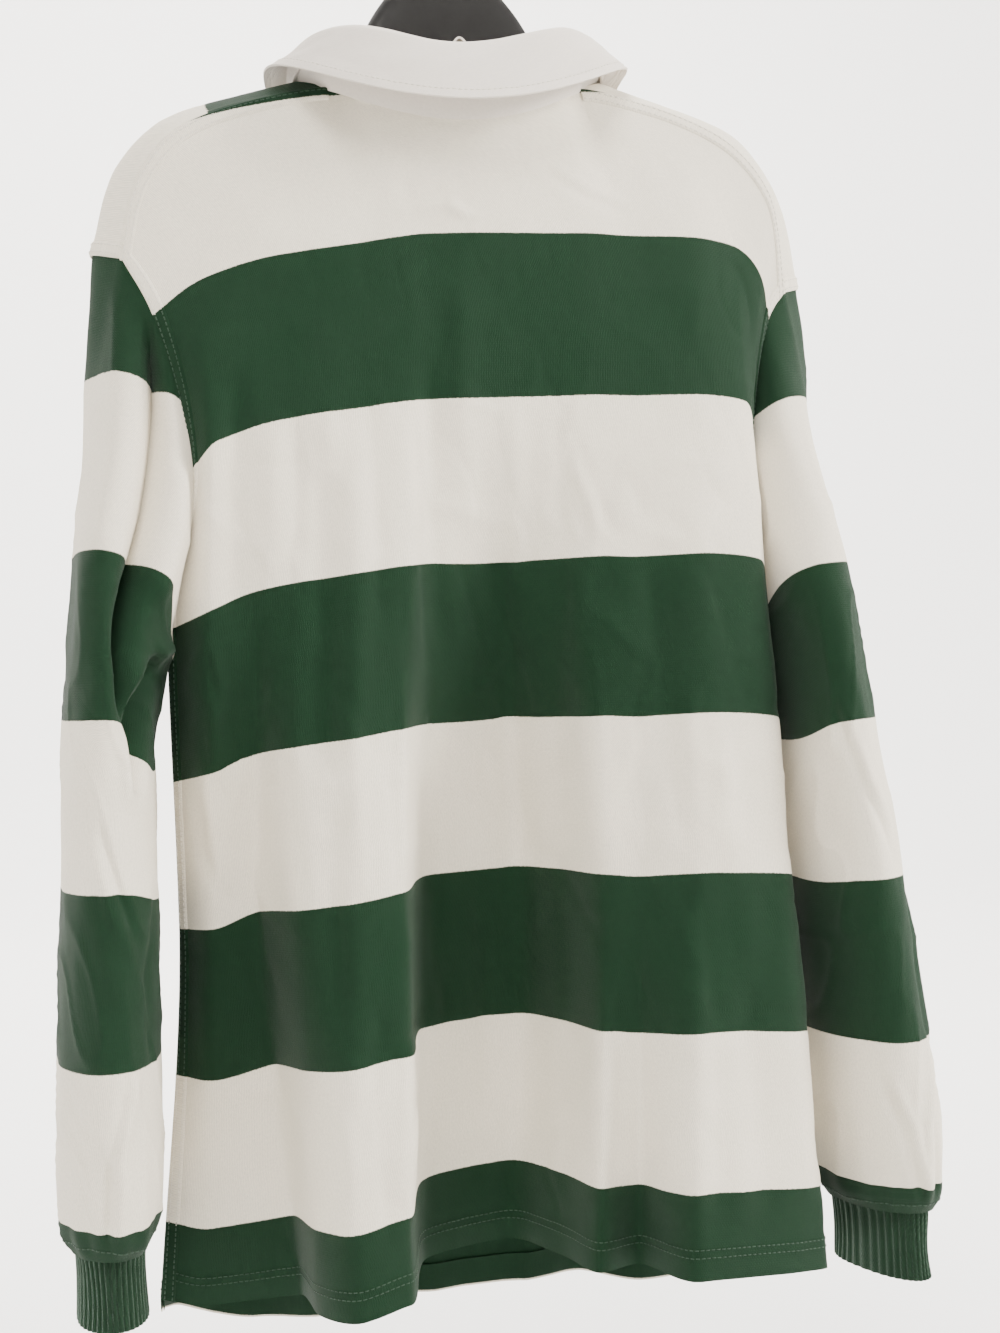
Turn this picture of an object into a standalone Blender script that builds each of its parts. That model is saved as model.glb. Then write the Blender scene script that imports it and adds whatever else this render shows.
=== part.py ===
"""A long-sleeved rugby shirt in wide hoops, hung on a broad black hanger.

Metres, +Z up. The origin is where the hook bears on its rail. The shirt's
back faces +Y, its front -Y, and the wearer's left arm is at +X. The tables
are in millimetres, measured from a datum HOOK_RISE below the bearing point.
"""

import math

import bmesh
import bpy
import numpy as np

MM = 0.001

# Driving dimensions, in millimetres
HOOK_RISE = 30.0          # bearing point above the datum of the tables
HANGER_X = -6.0           # where the hook, hanger and neck sit in the tables
WALL = 1.6                # jersey, modelled thickness
TWILL = 1.4               # collar and placket, modelled thickness
SEAM_GAP = 1.0            # clearance where two panels meet
LAID_ON = 0.4             # clearance under a piece that lies on another
HOOP = 101.6              # height of one stripe
YOKE_Z = -225.0           # first stripe edge below the neck, at centre back
BACK_HEM_Z = -889.0
FRONT_HEM_Z = -938.0

# The neck seam: a closed loop, its angle counted from centre back
NECK = {"half_width": 92.0, "back_y": 62.0, "front_y": 70.0,
        "back_z": -155.0, "side_z": -118.0, "front_z": -204.0, "corner_rise": 0.0}
# The collar's folded edge and its outer edge, on the same angles
COLLAR_ROLL = {"half_width": 104.0, "back_y": 70.0, "front_y": 76.0,
               "back_z": -113.0, "side_z": -107.0, "front_z": -164.0, "corner_rise": 14.0}
COLLAR_EDGE = {"half_width": 119.0, "back_y": 91.0, "front_y": 100.0,
               "back_z": -153.0, "side_z": -108.0, "front_z": -234.0, "corner_rise": 0.0}
STAND_END_ANGLE = 174.0   # the stand ends beside the placket
LEAF_END_ANGLE = 162.0    # the leaf ends at the collar points
COLLAR_STEPS = 28
STAND_CLEAR = 3.1         # of the stand from the neck seam and from the leaf's fold
# How far out, out and down from the fold to the edge the leaf's middle rows are
LEAF_SHARES = ((0.16, 0.16, -0.02), (0.62, 0.62, 0.45))

# Levels of the torso: name, height, with the rows of faces above each
BACK_LEVELS = (("top", None, 0), ("yoke", YOKE_Z, 3), ("chest", YOKE_Z - HOOP, 3),
               ("underarm", YOKE_Z - 2 * HOOP, 3), ("waist", YOKE_Z - 4 * HOOP, 4),
               ("hem", BACK_HEM_Z, 5))
FRONT_LEVELS = (("seam", None, 0), ("ridge", None, 2), ("yoke", YOKE_Z, 3),
                ("chest", YOKE_Z - HOOP, 2), ("underarm", YOKE_Z - 2 * HOOP, 2),
                ("waist", YOKE_Z - 4 * HOOP, 3), ("hem", FRONT_HEM_Z, 4))

# The back's folds, one row each from the wearer's left to right.
# top: a point of the shoulder seam, or an angle on the neck seam;
# then x and y at each level; how far the cloth hangs below yoke, waist and hem levels;
# columns of faces up to the next fold.
BACK_FOLDS = (
    # name, top, yoke, chest, underarm, waist, hem, drops, columns
    ("left_seam",      (207, 26, -231),    (190, 30),   (171, 30),   (191, 6),    (194, -38),
     (219, -54), (43, 24, 12), 3),
    ("left_flank",     (197, 28, -188),    (162, 40),   (158, 47),   (164, 38),   (172, -12),
     (187, -55), (24, 22, 20), 3),
    ("flank_crease",   (171, 29, -154),    (120, 48),   (125, 48),   (135, 40),   (146, -8),
     (127, -38), (12, 13, 14), 3),
    ("ridge_left",     (132, 29, -137),    (98, 50),    (104, 50),   (110, 48),   (118, 38),
     (119, 18),  (9, 8, 8),   2),
    ("ridge_crown",    62.0,               (70, 53),    (75, 52),    (80, 52),    (88, 52),
     (94, 48),   (6, 5, 5),   2),
    ("ridge_right",    36.0,               (40, 55),    (42, 52),    (46, 49),    (56, 46),
     (64, 42),   (2, 1, 0),   3),
    ("valley_left",    16.0,               (18, 56),    (20, 50),    (22, 34),    (33, -22),
     (44, -38),  (0, 0, 0),   3),
    ("valley_floor",   -4.0,               (-12, 57),   (-10, 49),   (-14, 20),   (-26, -44),
     (-14, -62), (0, 0, 0),   3),
    ("valley_right",   -22.0,              (-48, 55),   (-48, 49),   (-50, 33),   (-54, -12),
     (-44, -18), (0, 0, 0),   2),
    ("shoulder_right", -41.0,              (-80, 53),   (-80, 50),   (-80, 46),   (-76, 34),
     (-62, 24),  (0, 0, 0),   2),
    ("hem_dip",        -62.0,              (-108, 50),  (-108, 50),  (-105, 50),  (-98, 40),
     (-90, 8),   (1, 2, 2),   2),
    ("right_crown",    (-132, 29, -136),   (-150, 48),  (-148, 51),  (-144, 54),  (-133, 58),
     (-118, 60), (2, 1, 0),   3),
    ("right_edge",     (-188, 27, -161),   (-183, 38),  (-183, 42),  (-187, 42),  (-196, 42),
     (-210, 34), (6, 8, 10),  2),
    ("right_return",   (-215, 24, -200),   (-202, 32),  (-190, 31),  (-194, 26),  (-200, 16),
     (-214, 8),  (25, 17, 12), 3),
    ("right_seam",     (-222, 18, -256),   (-209, 20),  (-194, 12),  (-198, 0),   (-196, -14),
     (-208, -14), (50, 27, 12), 0),
)

# The front's folds, in the same order and columns; seam and ridge are points
FRONT_FOLDS = (
    # name, seam, ridge, yoke, chest, underarm, waist, hem, drops, columns
    ("left_seam",   (207, 26, -231),   (227, -2, -223),   (200, -34),  (180, -38),  (192, 3),
     (195, -41),   (220, -61),   (43, 24, -28), 3),
    ("left_edge",   (197, 28, -188),   (212, -2, -174),   (190, -48),  (184, -62),  (186, -70),
     (189, -92),   (206, -106),  (25, 17, -12), 3),
    ("left_crown",  (171, 29, -154),   (178, -2, -138),   (156, -58),  (152, -74),  (150, -88),
     (150, -108),  (156, -124),  (12, 10, 8),  3),
    ("left_hollow", (132, 29, -137),   (138, -2, -125),   (120, -60),  (113, -68),  (108, -75),
     (106, -88),   (110, -100),  (8, 6, 4),   2),
    ("left_neck",   62.0,              (95, 3, -115),     (90, -62),   (78, -76),   (72, -88),
     (68, -106),   (72, -124),   (4, 3, 2),   2),
    ("left_side",   86.0,              (92, -20, -127),   (68, -66),   (58, -78),   (50, -88),
     (48, -103),   (50, -116),   (2, 1, 0),   1),
    ("left_throat", 118.0,             (78, -42, -154),   (46, -70),   (38, -80),   (33, -90),
     (31, -102),   (31, -112),   (0, 0, 0),   2),
    ("left_collar", 147.0,             (44, -63.5, -193),   (28, -72),   (24, -81),   (22, -91),
     (20, -103),   (20, -114),   (0, 0, 0),   1),
    ("left_slit",   170.0,             (10, -72, -211),   (10, -74),   (10, -82),   (8, -92),
     (6, -104),   (6, -116),   (0, 0, 0),   2),
    ("right_slit",  -170.0,            (-22, -72, -211),  (-22, -74),  (-22, -82),  (-20, -92),
     (-18, -104),  (-18, -116),  (0, 0, 0),   1),
    ("right_collar", -147.0,           (-56, -63.5, -193),  (-39, -72),  (-34, -81),  (-32, -91),
     (-30, -103),  (-30, -114),  (0, 0, 0),   2),
    ("right_throat", -118.0,           (-90, -42, -154),  (-53, -70),  (-45, -80),  (-40, -90),
     (-38, -102),  (-38, -112),  (0, 0, 0),   1),
    ("right_side",  -86.0,             (-104, -20, -127), (-72, -66),  (-62, -78),  (-54, -88),
     (-52, -103),  (-54, -116),  (2, 1, 0),   2),
    ("right_neck",  -62.0,             (-107, 3, -115),   (-92, -62),  (-80, -76),  (-74, -88),
     (-72, -106),  (-78, -126),  (4, 3, 2),   2),
    ("right_hollow", (-132, 29, -136), (-138, -2, -125),  (-120, -60), (-113, -68), (-110, -75),
     (-110, -88),  (-118, -98),  (8, 6, 4),   3),
    ("right_crown", (-188, 27, -161),  (-200, -2, -151),  (-170, -56), (-160, -72), (-156, -84),
     (-158, -100), (-168, -114), (14, 10, 8),  2),
    ("right_edge",  (-215, 24, -200),  (-230, -3, -200),  (-200, -46), (-188, -60), (-190, -66),
     (-192, -80),  (-206, -84),  (30, 19, -12), 3),
    ("right_seam",  (-222, 18, -256),  (-239, -5, -250),  (-212, -30), (-196, -34), (-199, -3),
     (-197, -17),  (-209, -21),  (50, 27, -28), 0),
)
UNDERARM_LEVEL = 3.0      # its place among the back's levels
SIDE_CLEAR = 3.0          # the front's side edge lies this far in front of the back's
SLIT_FOLD = "left_slit"   # the placket slit lies between this fold and the next
SLIT_LENGTH = 130.0

# Sleeves: sections down each, the left's; the right's differ as named below
SLEEVE_SECTIONS = (
    # depth below the cap, centre out: left, right, centre y, half length, half thickness,
    # turn outward in front: left, right (degrees)
    (0.0, 208, 216, -2, 44, 17, 0, 0),
    (75.0, 217, 223, -3, 64, 19, 2, 3),
    (175.0, 225, 230, -4, 76, 22, 3, 3),
    (295.0, 233, 237, -5, 76, 28, 3, -3),
    (425.0, 239, 249.5, -6, 70, 30, 4, -8),
    (540.0, 244, 262, -6, 62, 32, 5, -12),
    (585.0, 246, 264, -4, 53, 30, 6, -17),
    (602.0, 247, 263, -2, 43, 23, 8, -22),
)
# cuff: its half length and half thickness
SLEEVE = {"left": {"side": 1, "cap_z": -242.0, "column": 0, "cuff": (36.0, 21.0)},
          "right": {"side": -1, "cap_z": -268.0, "column": 1, "cuff": (41.0, 16.0)}}
SLEEVE_LENGTH = 600.0     # from the top of the cap to the cuff seam
ARMHOLE_CLEAR = 2.9       # the cap starts this far past the panels' edges
ARMHOLE_SPREAD = 1.2      # and this much of that again straight outward
ARMHOLE_BACK = 16         # points up the armhole's back
ARMHOLE_FRONT = 20        # and down its front
ARMHOLE_OVER = 4          # the cap's top, in points past the shoulder seam
SLEEVE_SQUARENESS = 0.85  # below 1 fills out the section's ends
UNDERARM_DEPTH = 165.0    # how far down the sleeve its cap ends at the underarm
CAP_REACH = 150.0         # the sleeve has its own section this far below its cap
SLEEVE_COLUMNS = 18
SLEEVE_ROWS = 15
CUFF_LENGTH = 45.0
CUFF_WALL = 2.0
CUFF_CLEAR = 1.2          # between the sleeve's end and the cuff
CUFF_COLUMNS = 16
CUFF_ROWS = 2

# Placket, buttons, loop and tapes
PLACKET_WIDTH = 36.0
UNDER_WIDTH = 29.0
PLACKET_LENGTH = 148.0
PLACKET_ROWS = 7
PLACKET_CLEAR = 1.3       # between the placket and the front
PLACKET_TOP = 6.0         # below the neck seam
UNDER_TOP = 10.0
BUTTON_RADIUS = 6.5
BUTTON_THICKNESS = 2.6
BUTTON_DROPS = (22.0, 68.0, 114.0)
LOOP_WIDTH = 22.0
LOOP_HEIGHT = 50.0
LOOP_TAPE = 7.0
LOOP_WALL = 1.2
LOOP_Y = 52.0
LOOP_TOP_Z = -103.0
TAPE_LENGTH = 42.0
TAPE_WIDTH = 9.0
TAPE_WALL = 0.8
TAPE_UP = 6.0             # above the hem
TAPE_IN = 3.0             # in from the side edge
TAPE_CLEAR = 2.6          # behind the back's middle surface

# The hanger: sections from its middle out
HANGER_SECTIONS = (
    # x, top z, bottom z, half depth
    (0.0,   -36.0,  -150.0, 13.0),
    (16.0,  -38.5,  -150.0, 13.0),
    (28.0,  -47.0,  -150.0, 13.5),
    (38.5,  -58.5,  -150.5, 14.0),
    (50.0,  -75.0,  -151.0, 15.0),
    (59.0,  -94.0,  -152.0, 14.5),
    (69.0,  -116.0, -153.0, 13.0),
    (81.0,  -131.0, -155.0, 12.0),
    (100.0, -135.0, -158.0, 14.0),
    (132.0, -139.0, -162.0, 15.0),
    (165.0, -149.0, -169.0, 14.0),
    (184.0, -162.0, -177.0, 12.0),
    (193.0, -170.0, -179.0, 9.0),
)
HANGER_SQUARENESS = 0.7   # below 1 flattens the moulding's faces
HOOK_WIRE = 2.0           # wire radius
HOOK_RADIUS = 19.0        # of the wire's centre line
HOOK_TURN = (-78.0, 150.0)  # degrees round its centre, from the stem to the tip

PALETTE = {
    "striped_jersey": (0.74, 0.69, 0.61, 0.92),
    "rib_green": (0.016, 0.075, 0.035, 0.94),
    "twill_cream": (0.72, 0.66, 0.57, 0.88),
    "button_rubber": (0.66, 0.61, 0.52, 0.5),
    "hanger_black": (0.012, 0.012, 0.013, 0.45),
    "hook_steel": (0.62, 0.62, 0.63, 0.25),
}


def clear_scene():
    for obj in list(bpy.data.objects):
        bpy.data.objects.remove(obj, do_unlink=True)


def material(name):
    """A Principled material of this name and its colour and roughness."""
    found = bpy.data.materials.get(name)
    if found:
        return found
    red, green, blue, roughness = PALETTE[name]
    made = bpy.data.materials.new(name)
    made.use_nodes = True
    shader = made.node_tree.nodes["Principled BSDF"]
    shader.inputs["Base Color"].default_value = (red, green, blue, 1.0)
    shader.inputs["Roughness"].default_value = roughness
    shader.inputs["Metallic"].default_value = 1.0 if name == "hook_steel" else 0.0
    return made


def add_object(name, points, faces, slot):
    """One object from points in table millimetres."""
    lifted = (np.asarray(points, dtype=float) - (HANGER_X, 0.0, HOOK_RISE)) * MM
    mesh = bpy.data.meshes.new(name)
    mesh.from_pydata([tuple(point) for point in lifted], [], faces)
    built = bmesh.new()
    built.from_mesh(mesh)
    bmesh.ops.recalc_face_normals(built, faces=built.faces)
    built.to_mesh(mesh)
    built.free()
    mesh.shade_smooth()
    obj = bpy.data.objects.new(name, mesh)
    mesh.materials.append(material(slot))
    bpy.context.scene.collection.objects.link(obj)
    return obj


def flowing(values, at):
    """Values between rows of a table: a smooth line that never overshoots a row."""
    values = np.asarray(values, dtype=float)
    at = np.clip(np.asarray(at, dtype=float), 0.0, len(values) - 1.0)
    steps = np.diff(values, axis=0)
    slopes = np.zeros_like(values)
    before, after = steps[:-1], steps[1:]
    same_way = before * after > 0
    total = np.where(same_way, before + after, 1.0)
    slopes[1:-1] = np.where(same_way, 2.0 * before * after / total, 0.0)
    slopes[0], slopes[-1] = steps[0], steps[-1]
    index = np.minimum(at.astype(int), len(values) - 2)
    part = (at - index)[:, None]
    start, end = values[index], values[index + 1]
    rise_in, rise_out = slopes[index], slopes[index + 1]
    return ((2 * part**3 - 3 * part**2 + 1) * start + (part**3 - 2 * part**2 + part) * rise_in
            + (3 * part**2 - 2 * part**3) * end + (part**3 - part**2) * rise_out)


def neck_loop(size, degrees):
    """A point of a loop round the neck, its angle counted from centre back."""
    angle = math.radians(degrees)
    forward = math.cos(angle) < 0
    reach = size["front_y"] if forward else size["back_y"]
    far_z = size["front_z"] if forward else size["back_z"]
    lean = math.cos(angle) ** 2
    rise = 0.0 if forward else size["corner_rise"] * math.sin(2.0 * angle) ** 2
    return (HANGER_X + size["half_width"] * math.sin(angle), reach * math.cos(angle),
            size["side_z"] + (far_z - size["side_z"]) * lean + rise)


def fold_points(folds, levels):
    """Points [level, fold, xyz] of a panel's fold lines."""
    waist, lowest = levels[-2][1], levels[-1][1]
    table = np.zeros((len(levels), len(folds), 3))
    for column, fold in enumerate(folds):
        drops = fold[-2]
        for row, (level, height, _) in enumerate(levels):
            place = fold[1 + row]
            if isinstance(place, float):
                table[row, column] = neck_loop(NECK, place)
            elif len(place) == 3:
                table[row, column] = place
            else:
                drop = np.interp(-height, (-YOKE_Z, -waist, -lowest), drops)
                table[row, column] = (*place, height - drop)
    return table


def between(table, rows, columns):
    """The surface at fractional rows and columns of its fold lines."""
    across = np.stack([flowing(line, columns) for line in table])
    return np.stack([flowing(across[:, index], rows) for index in range(len(columns))], axis=1)


def on_neck(grid, folds, columns):
    """Puts the top row of a panel on the neck seam, where it runs round the neck."""
    for place, column in enumerate(columns):
        low = min(int(column), len(folds) - 2)
        ends = folds[low][1], folds[low + 1][1]
        if isinstance(ends[0], float) and isinstance(ends[1], float) and abs(ends[1] - ends[0]) < 90.0:
            angle = ends[0] + (ends[1] - ends[0]) * (column - low)
            grid[0, place] = neck_loop(NECK, angle)
    return grid


def steps_through(counts):
    """Fractional table places for so many faces in each gap."""
    places = [0.0]
    for gap, count in enumerate(counts):
        places += [gap + (step + 1) / count for step in range(count)]
    return np.array(places)


def outward(grid, closed):
    """Unit normals of a grid of points, rows down and columns across."""
    if closed:
        wide = np.concatenate([grid[:, -1:], grid, grid[:, :1]], axis=1)
        across = np.gradient(wide, axis=1)[:, 1:-1]
    else:
        across = np.gradient(grid, axis=1)
    normals = np.cross(np.gradient(grid, axis=0), across)
    return normals / np.linalg.norm(normals, axis=2, keepdims=True)


def cloth_solid(name, grid, thickness, slot, closed=False, cut=()):
    """A wall of this thickness on a grid of points; cut lists faces left out."""
    rows, columns = grid.shape[:2]
    normals = outward(grid, closed)
    half = thickness / 2.0
    points = np.concatenate([(grid + normals * half).reshape(-1, 3),
                             (grid - normals * half).reshape(-1, 3)])
    inner = rows * columns
    used, sides = [], {}
    for row in range(rows - 1):
        for column in range(columns if closed else columns - 1):
            if (row, column) in cut:
                continue
            right = (column + 1) % columns
            corners = (row * columns + column, (row + 1) * columns + column,
                       (row + 1) * columns + right, row * columns + right)
            used.append(corners)
            for index in range(4):
                edge = (corners[index], corners[(index + 1) % 4])
                if edge[::-1] in sides:
                    sides.pop(edge[::-1])
                else:
                    sides[edge] = True
    faces = []
    for first, second, third, fourth in used:
        for corners in ((first, second, third), (first, third, fourth)):
            faces.append(corners)
            faces.append(tuple(corner + inner for corner in reversed(corners)))
    for first, second in sides:
        faces += [(second, first, first + inner), (second, first + inner, second + inner)]
    kept = sorted({index for face in faces for index in face})
    renumber = {index: place for place, index in enumerate(kept)}
    faces = [tuple(renumber[index] for index in face) for face in faces]
    return add_object(name, points[kept], faces, slot)


def back_grid():
    table = fold_points(BACK_FOLDS, BACK_LEVELS)
    rows = steps_through([level[2] for level in BACK_LEVELS[1:]])
    columns = steps_through([fold[-1] for fold in BACK_FOLDS[:-1]])
    return on_neck(between(table, rows, columns), BACK_FOLDS, columns)


def front_table():
    """The front's fold lines."""
    return fold_points(FRONT_FOLDS, FRONT_LEVELS)


def front_columns():
    return steps_through([fold[-1] for fold in FRONT_FOLDS[:-1]])


def front_grid():
    rows = steps_through([level[2] for level in FRONT_LEVELS[1:]])
    grid = on_neck(between(front_table(), rows, front_columns()), FRONT_FOLDS, front_columns())
    return below_shoulder_seam(beside_back(grid))


def below_shoulder_seam(grid):
    """Starts the front a gap past the back's top edge, all along both shoulders."""
    back = back_grid()
    left = sum(fold[-1] for fold in FRONT_FOLDS[:4])
    right = sum(fold[-1] for fold in FRONT_FOLDS[-5:])
    for count, columns in ((left, range(left + 1)), (right, range(-right - 1, 0))):
        for column in columns:
            onward = grid[1, column] - back[0, column]
            grid[0, column] = back[0, column] + onward / np.linalg.norm(onward) * SEAM_GAP
    return grid


def beside_back(grid):
    """Lays the front's side edges along the back's, below the underarm."""
    back = fold_points(BACK_FOLDS, BACK_LEVELS)
    for column, edge in ((0, 0), (-1, -1)):
        line = flowing(back[:, edge], np.linspace(UNDERARM_LEVEL, len(BACK_LEVELS) - 1.0, 40))
        for row in range(grid.shape[0]):
            height = grid[row, column, 2]
            if height < line[0, 2] + 1.0 and row > 0:
                for axis, clear in ((0, 0.0), (1, -SIDE_CLEAR)):
                    grid[row, column, axis] = np.interp(-height, -line[:, 2], line[:, axis]) + clear
    return grid


def slit_cut(grid):
    """Faces of the front left out for the placket slit."""
    names = [fold[0] for fold in FRONT_FOLDS]
    first = sum(fold[-1] for fold in FRONT_FOLDS[:names.index(SLIT_FOLD)])
    columns = range(first, first + FRONT_FOLDS[names.index(SLIT_FOLD)][-1])
    lowest = grid[0, first, 2] - SLIT_LENGTH
    return {(row, column) for row in range(grid.shape[0] - 1) for column in columns
            if grid[row + 1, column, 2] > lowest - HOOP * 0.1}


def armhole(side):
    """The armhole's edge as a closed line: underarm, up the back, over, down the front."""
    back = fold_points(BACK_FOLDS, BACK_LEVELS)
    front = front_table()
    edge, inside = (0, 1) if side > 0 else (-1, -2)
    lines = []
    for table, places in ((back, np.linspace(UNDERARM_LEVEL, 0.0, ARMHOLE_BACK)),
                          (front, np.linspace(0.0, UNDERARM_LEVEL + 1.0, ARMHOLE_FRONT)[1:])):
        line = flowing(table[:, edge], places)
        onward = line - flowing(table[:, inside], places)
        onward /= np.linalg.norm(onward, axis=1, keepdims=True)
        onward = onward + (side * ARMHOLE_SPREAD, 0.0, 0.0)
        lines.append(line + onward * ARMHOLE_CLEAR)
    return np.concatenate(lines)


def along(line, places):
    """Points at fractions of a line's length."""
    lengths = np.concatenate([[0.0], np.cumsum(np.linalg.norm(np.diff(line, axis=0), axis=1))])
    at = np.asarray(places) * lengths[-1]
    return np.stack([np.interp(at, lengths, line[:, axis]) for axis in range(3)], axis=1)


def along_share(line, index):
    """How far along a line one of its points is, as a fraction."""
    lengths = np.concatenate([[0.0], np.cumsum(np.linalg.norm(np.diff(line, axis=0), axis=1))])
    return lengths[index] / lengths[-1]


def section_ring(values, turns, set_of):
    """Points round a sleeve at these turns (0 body side, 90 back, 180 outside)."""
    depth, left_x, right_x, centre_y, half_length, half_thickness, left_turn, right_turn = values
    side = set_of["side"]
    centre_x = (left_x, right_x)[set_of["column"]]
    lean = math.radians((left_turn, right_turn)[set_of["column"]])
    angle = np.radians(turns)
    out = -np.cos(angle) * half_thickness
    rear = np.sin(angle)
    rear = np.sign(rear) * np.abs(rear) ** SLEEVE_SQUARENESS * half_length
    x = centre_x + out * math.cos(lean) - rear * math.sin(lean)
    y = centre_y + rear * math.cos(lean) + out * math.sin(lean)
    return np.stack([side * x, y, np.full(len(turns), set_of["cap_z"] - depth)], axis=1)


def sleeve_grid(set_of, rows=SLEEVE_ROWS, columns=SLEEVE_COLUMNS):
    """The sleeve: its cap on the armhole, its own sections below, closed round."""
    side = set_of["side"]
    turns = np.arange(columns) * 360.0 / columns
    line = armhole(side)
    back_share = along_share(line, ARMHOLE_BACK + ARMHOLE_OVER)
    places = np.where(turns <= 180.0, turns / 180.0 * back_share,
                      back_share + (turns - 180.0) / 180.0 * (1.0 - back_share))
    cap = along(line, places)
    highest = line[:, 2].max()
    lowest = line[:, 2].min()
    cap_depth = (highest - cap[:, 2]) / (highest - lowest) * UNDERARM_DEPTH
    depths = [section[0] for section in SLEEVE_SECTIONS]
    sections = np.array(SLEEVE_SECTIONS)
    grid = np.zeros((rows + 1, columns, 3))
    for column in range(columns):
        for row in range(rows + 1):
            depth = cap_depth[column] + (SLEEVE_LENGTH - cap_depth[column]) * row / rows
            ring_point = ring_at(depth, turns[column], set_of, depths, sections)
            at_cap = ring_at(cap_depth[column], turns[column], set_of, depths, sections)
            away = min(1.0, (depth - cap_depth[column]) / CAP_REACH)
            hold = (1.0 - away) ** 2 * (1.0 + 2.0 * away)
            grid[row, column] = ring_point + (cap[column] - at_cap) * hold
    return grid if side > 0 else grid[:, ::-1]


def ring_at(depth, turn, set_of, depths, sections):
    place = np.interp(depth, depths, range(len(depths)))
    values = flowing(sections, [place])[0]
    return section_ring(values, np.array([turn]), set_of)[0]


def cuff_grid(set_of):
    """The cuff, a plain tube that starts just under the sleeve's end."""
    last = list(SLEEVE_SECTIONS[-1])
    rows = []
    for row in range(CUFF_ROWS + 1):
        down = CUFF_LENGTH * row / CUFF_ROWS
        values = last[:]
        values[0] = SLEEVE_LENGTH + CUFF_CLEAR + down
        values[4:6] = set_of["cuff"]
        rows.append(section_ring(values, np.arange(CUFF_COLUMNS) * 360.0 / CUFF_COLUMNS, set_of))
    grid = np.stack(rows)
    return grid if set_of["side"] > 0 else grid[:, ::-1]


def build_panels():
    back = back_grid()
    cloth_solid("back_panel", back, WALL, "striped_jersey")
    front = front_grid()
    cloth_solid("front_panel", front, WALL, "striped_jersey", cut=slit_cut(front))


def build_sleeves():
    for name, set_of in SLEEVE.items():
        cloth_solid(name + "_sleeve", sleeve_grid(set_of), WALL, "striped_jersey", closed=True)
        cloth_solid(name + "_cuff", cuff_grid(set_of), CUFF_WALL, "rib_green", closed=True)


def build_collar():
    """The stand rises from the neck seam; the leaf folds over it and falls outside."""
    stand_angles = np.linspace(-STAND_END_ANGLE, STAND_END_ANGLE, COLLAR_STEPS + 1)[::-1]
    clear = np.array([0.0, 0.0, STAND_CLEAR])
    foot = np.array([neck_loop(NECK, angle) for angle in stand_angles]) + clear
    head = np.array([neck_loop(COLLAR_ROLL, angle) for angle in stand_angles]) - clear
    middle = (foot + head) / 2.0
    cloth_solid("collar_stand", np.stack([head, middle, foot]), TWILL, "twill_cream")
    leaf_angles = np.linspace(-LEAF_END_ANGLE, LEAF_END_ANGLE, COLLAR_STEPS + 1)[::-1]
    roll = np.array([neck_loop(COLLAR_ROLL, angle) for angle in leaf_angles])
    edge = np.array([neck_loop(COLLAR_EDGE, angle) for angle in leaf_angles])
    crown, fall = (roll + (edge - roll) * shares for shares in LEAF_SHARES)
    cloth_solid("collar_leaf", np.stack([roll, crown, fall, edge]), TWILL, "twill_cream")


def placket_strip(out, width, start, length):
    """Points of the front at its centre, moved out of the shirt by so much."""
    table = front_table()
    names = [fold[0] for fold in FRONT_FOLDS]
    first = names.index(SLIT_FOLD)
    centre = first + 0.5
    slit_width = FRONT_FOLDS[first][3][0] - FRONT_FOLDS[first + 1][3][0]
    reach = width / 2.0 / slit_width
    columns = np.array([centre - reach, centre, centre + reach])
    levels = np.linspace(0.0, 4.0, 81)
    fine = between(table, levels, columns)
    depth = fine[0, 1, 2] - fine[:, 1, 2]
    rows = np.interp(np.linspace(start, length, PLACKET_ROWS), depth, levels)
    grid = between(table, rows, columns)
    return grid - outward(grid, False) * out


def build_placket():
    beside = WALL / 2.0 + PLACKET_CLEAR + TWILL / 2.0
    over = placket_strip(beside, PLACKET_WIDTH, PLACKET_TOP, PLACKET_LENGTH)
    cloth_solid("placket_over", over, TWILL, "twill_cream")
    under = placket_strip(-beside - LAID_ON, UNDER_WIDTH, UNDER_TOP, PLACKET_LENGTH - UNDER_TOP)
    cloth_solid("placket_under", under, TWILL, "twill_cream")
    centre_line = over[:, 1]
    normals = -outward(over, False)[:, 1]
    depth = centre_line[0, 2] - centre_line[:, 2]
    for number, drop in enumerate(BUTTON_DROPS, 1):
        point = np.array([np.interp(drop, depth, centre_line[:, axis]) for axis in range(3)])
        normal = np.array([np.interp(drop, depth, normals[:, axis]) for axis in range(3)])
        build_button("button_%d" % number, point, normal / np.linalg.norm(normal))


def build_button(name, point, normal):
    """A plain round rubber button lying on the placket."""
    sides = 16
    seat = TWILL / 2.0 + LAID_ON
    sideways = np.array([1.0, 0.0, 0.0]) - normal * normal[0]
    sideways /= np.linalg.norm(sideways)
    upward = np.cross(normal, sideways)
    rings = ((0.86, 0.0), (1.0, 0.3), (1.0, 0.75), (0.86, 1.0))
    points = []
    for share, rise in rings:
        for side in range(sides):
            angle = 2.0 * math.pi * side / sides
            spoke = sideways * math.cos(angle) + upward * math.sin(angle)
            points.append(point + normal * (seat + BUTTON_THICKNESS * rise)
                          + spoke * BUTTON_RADIUS * share)
    faces = [tuple(range(sides)), tuple(reversed(range(3 * sides, 4 * sides)))]
    for ring in range(3):
        for side in range(sides):
            after = (side + 1) % sides
            faces.append((ring * sides + side, ring * sides + after,
                          (ring + 1) * sides + after, (ring + 1) * sides + side))
    add_object(name, points, faces, "button_rubber")


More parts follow.
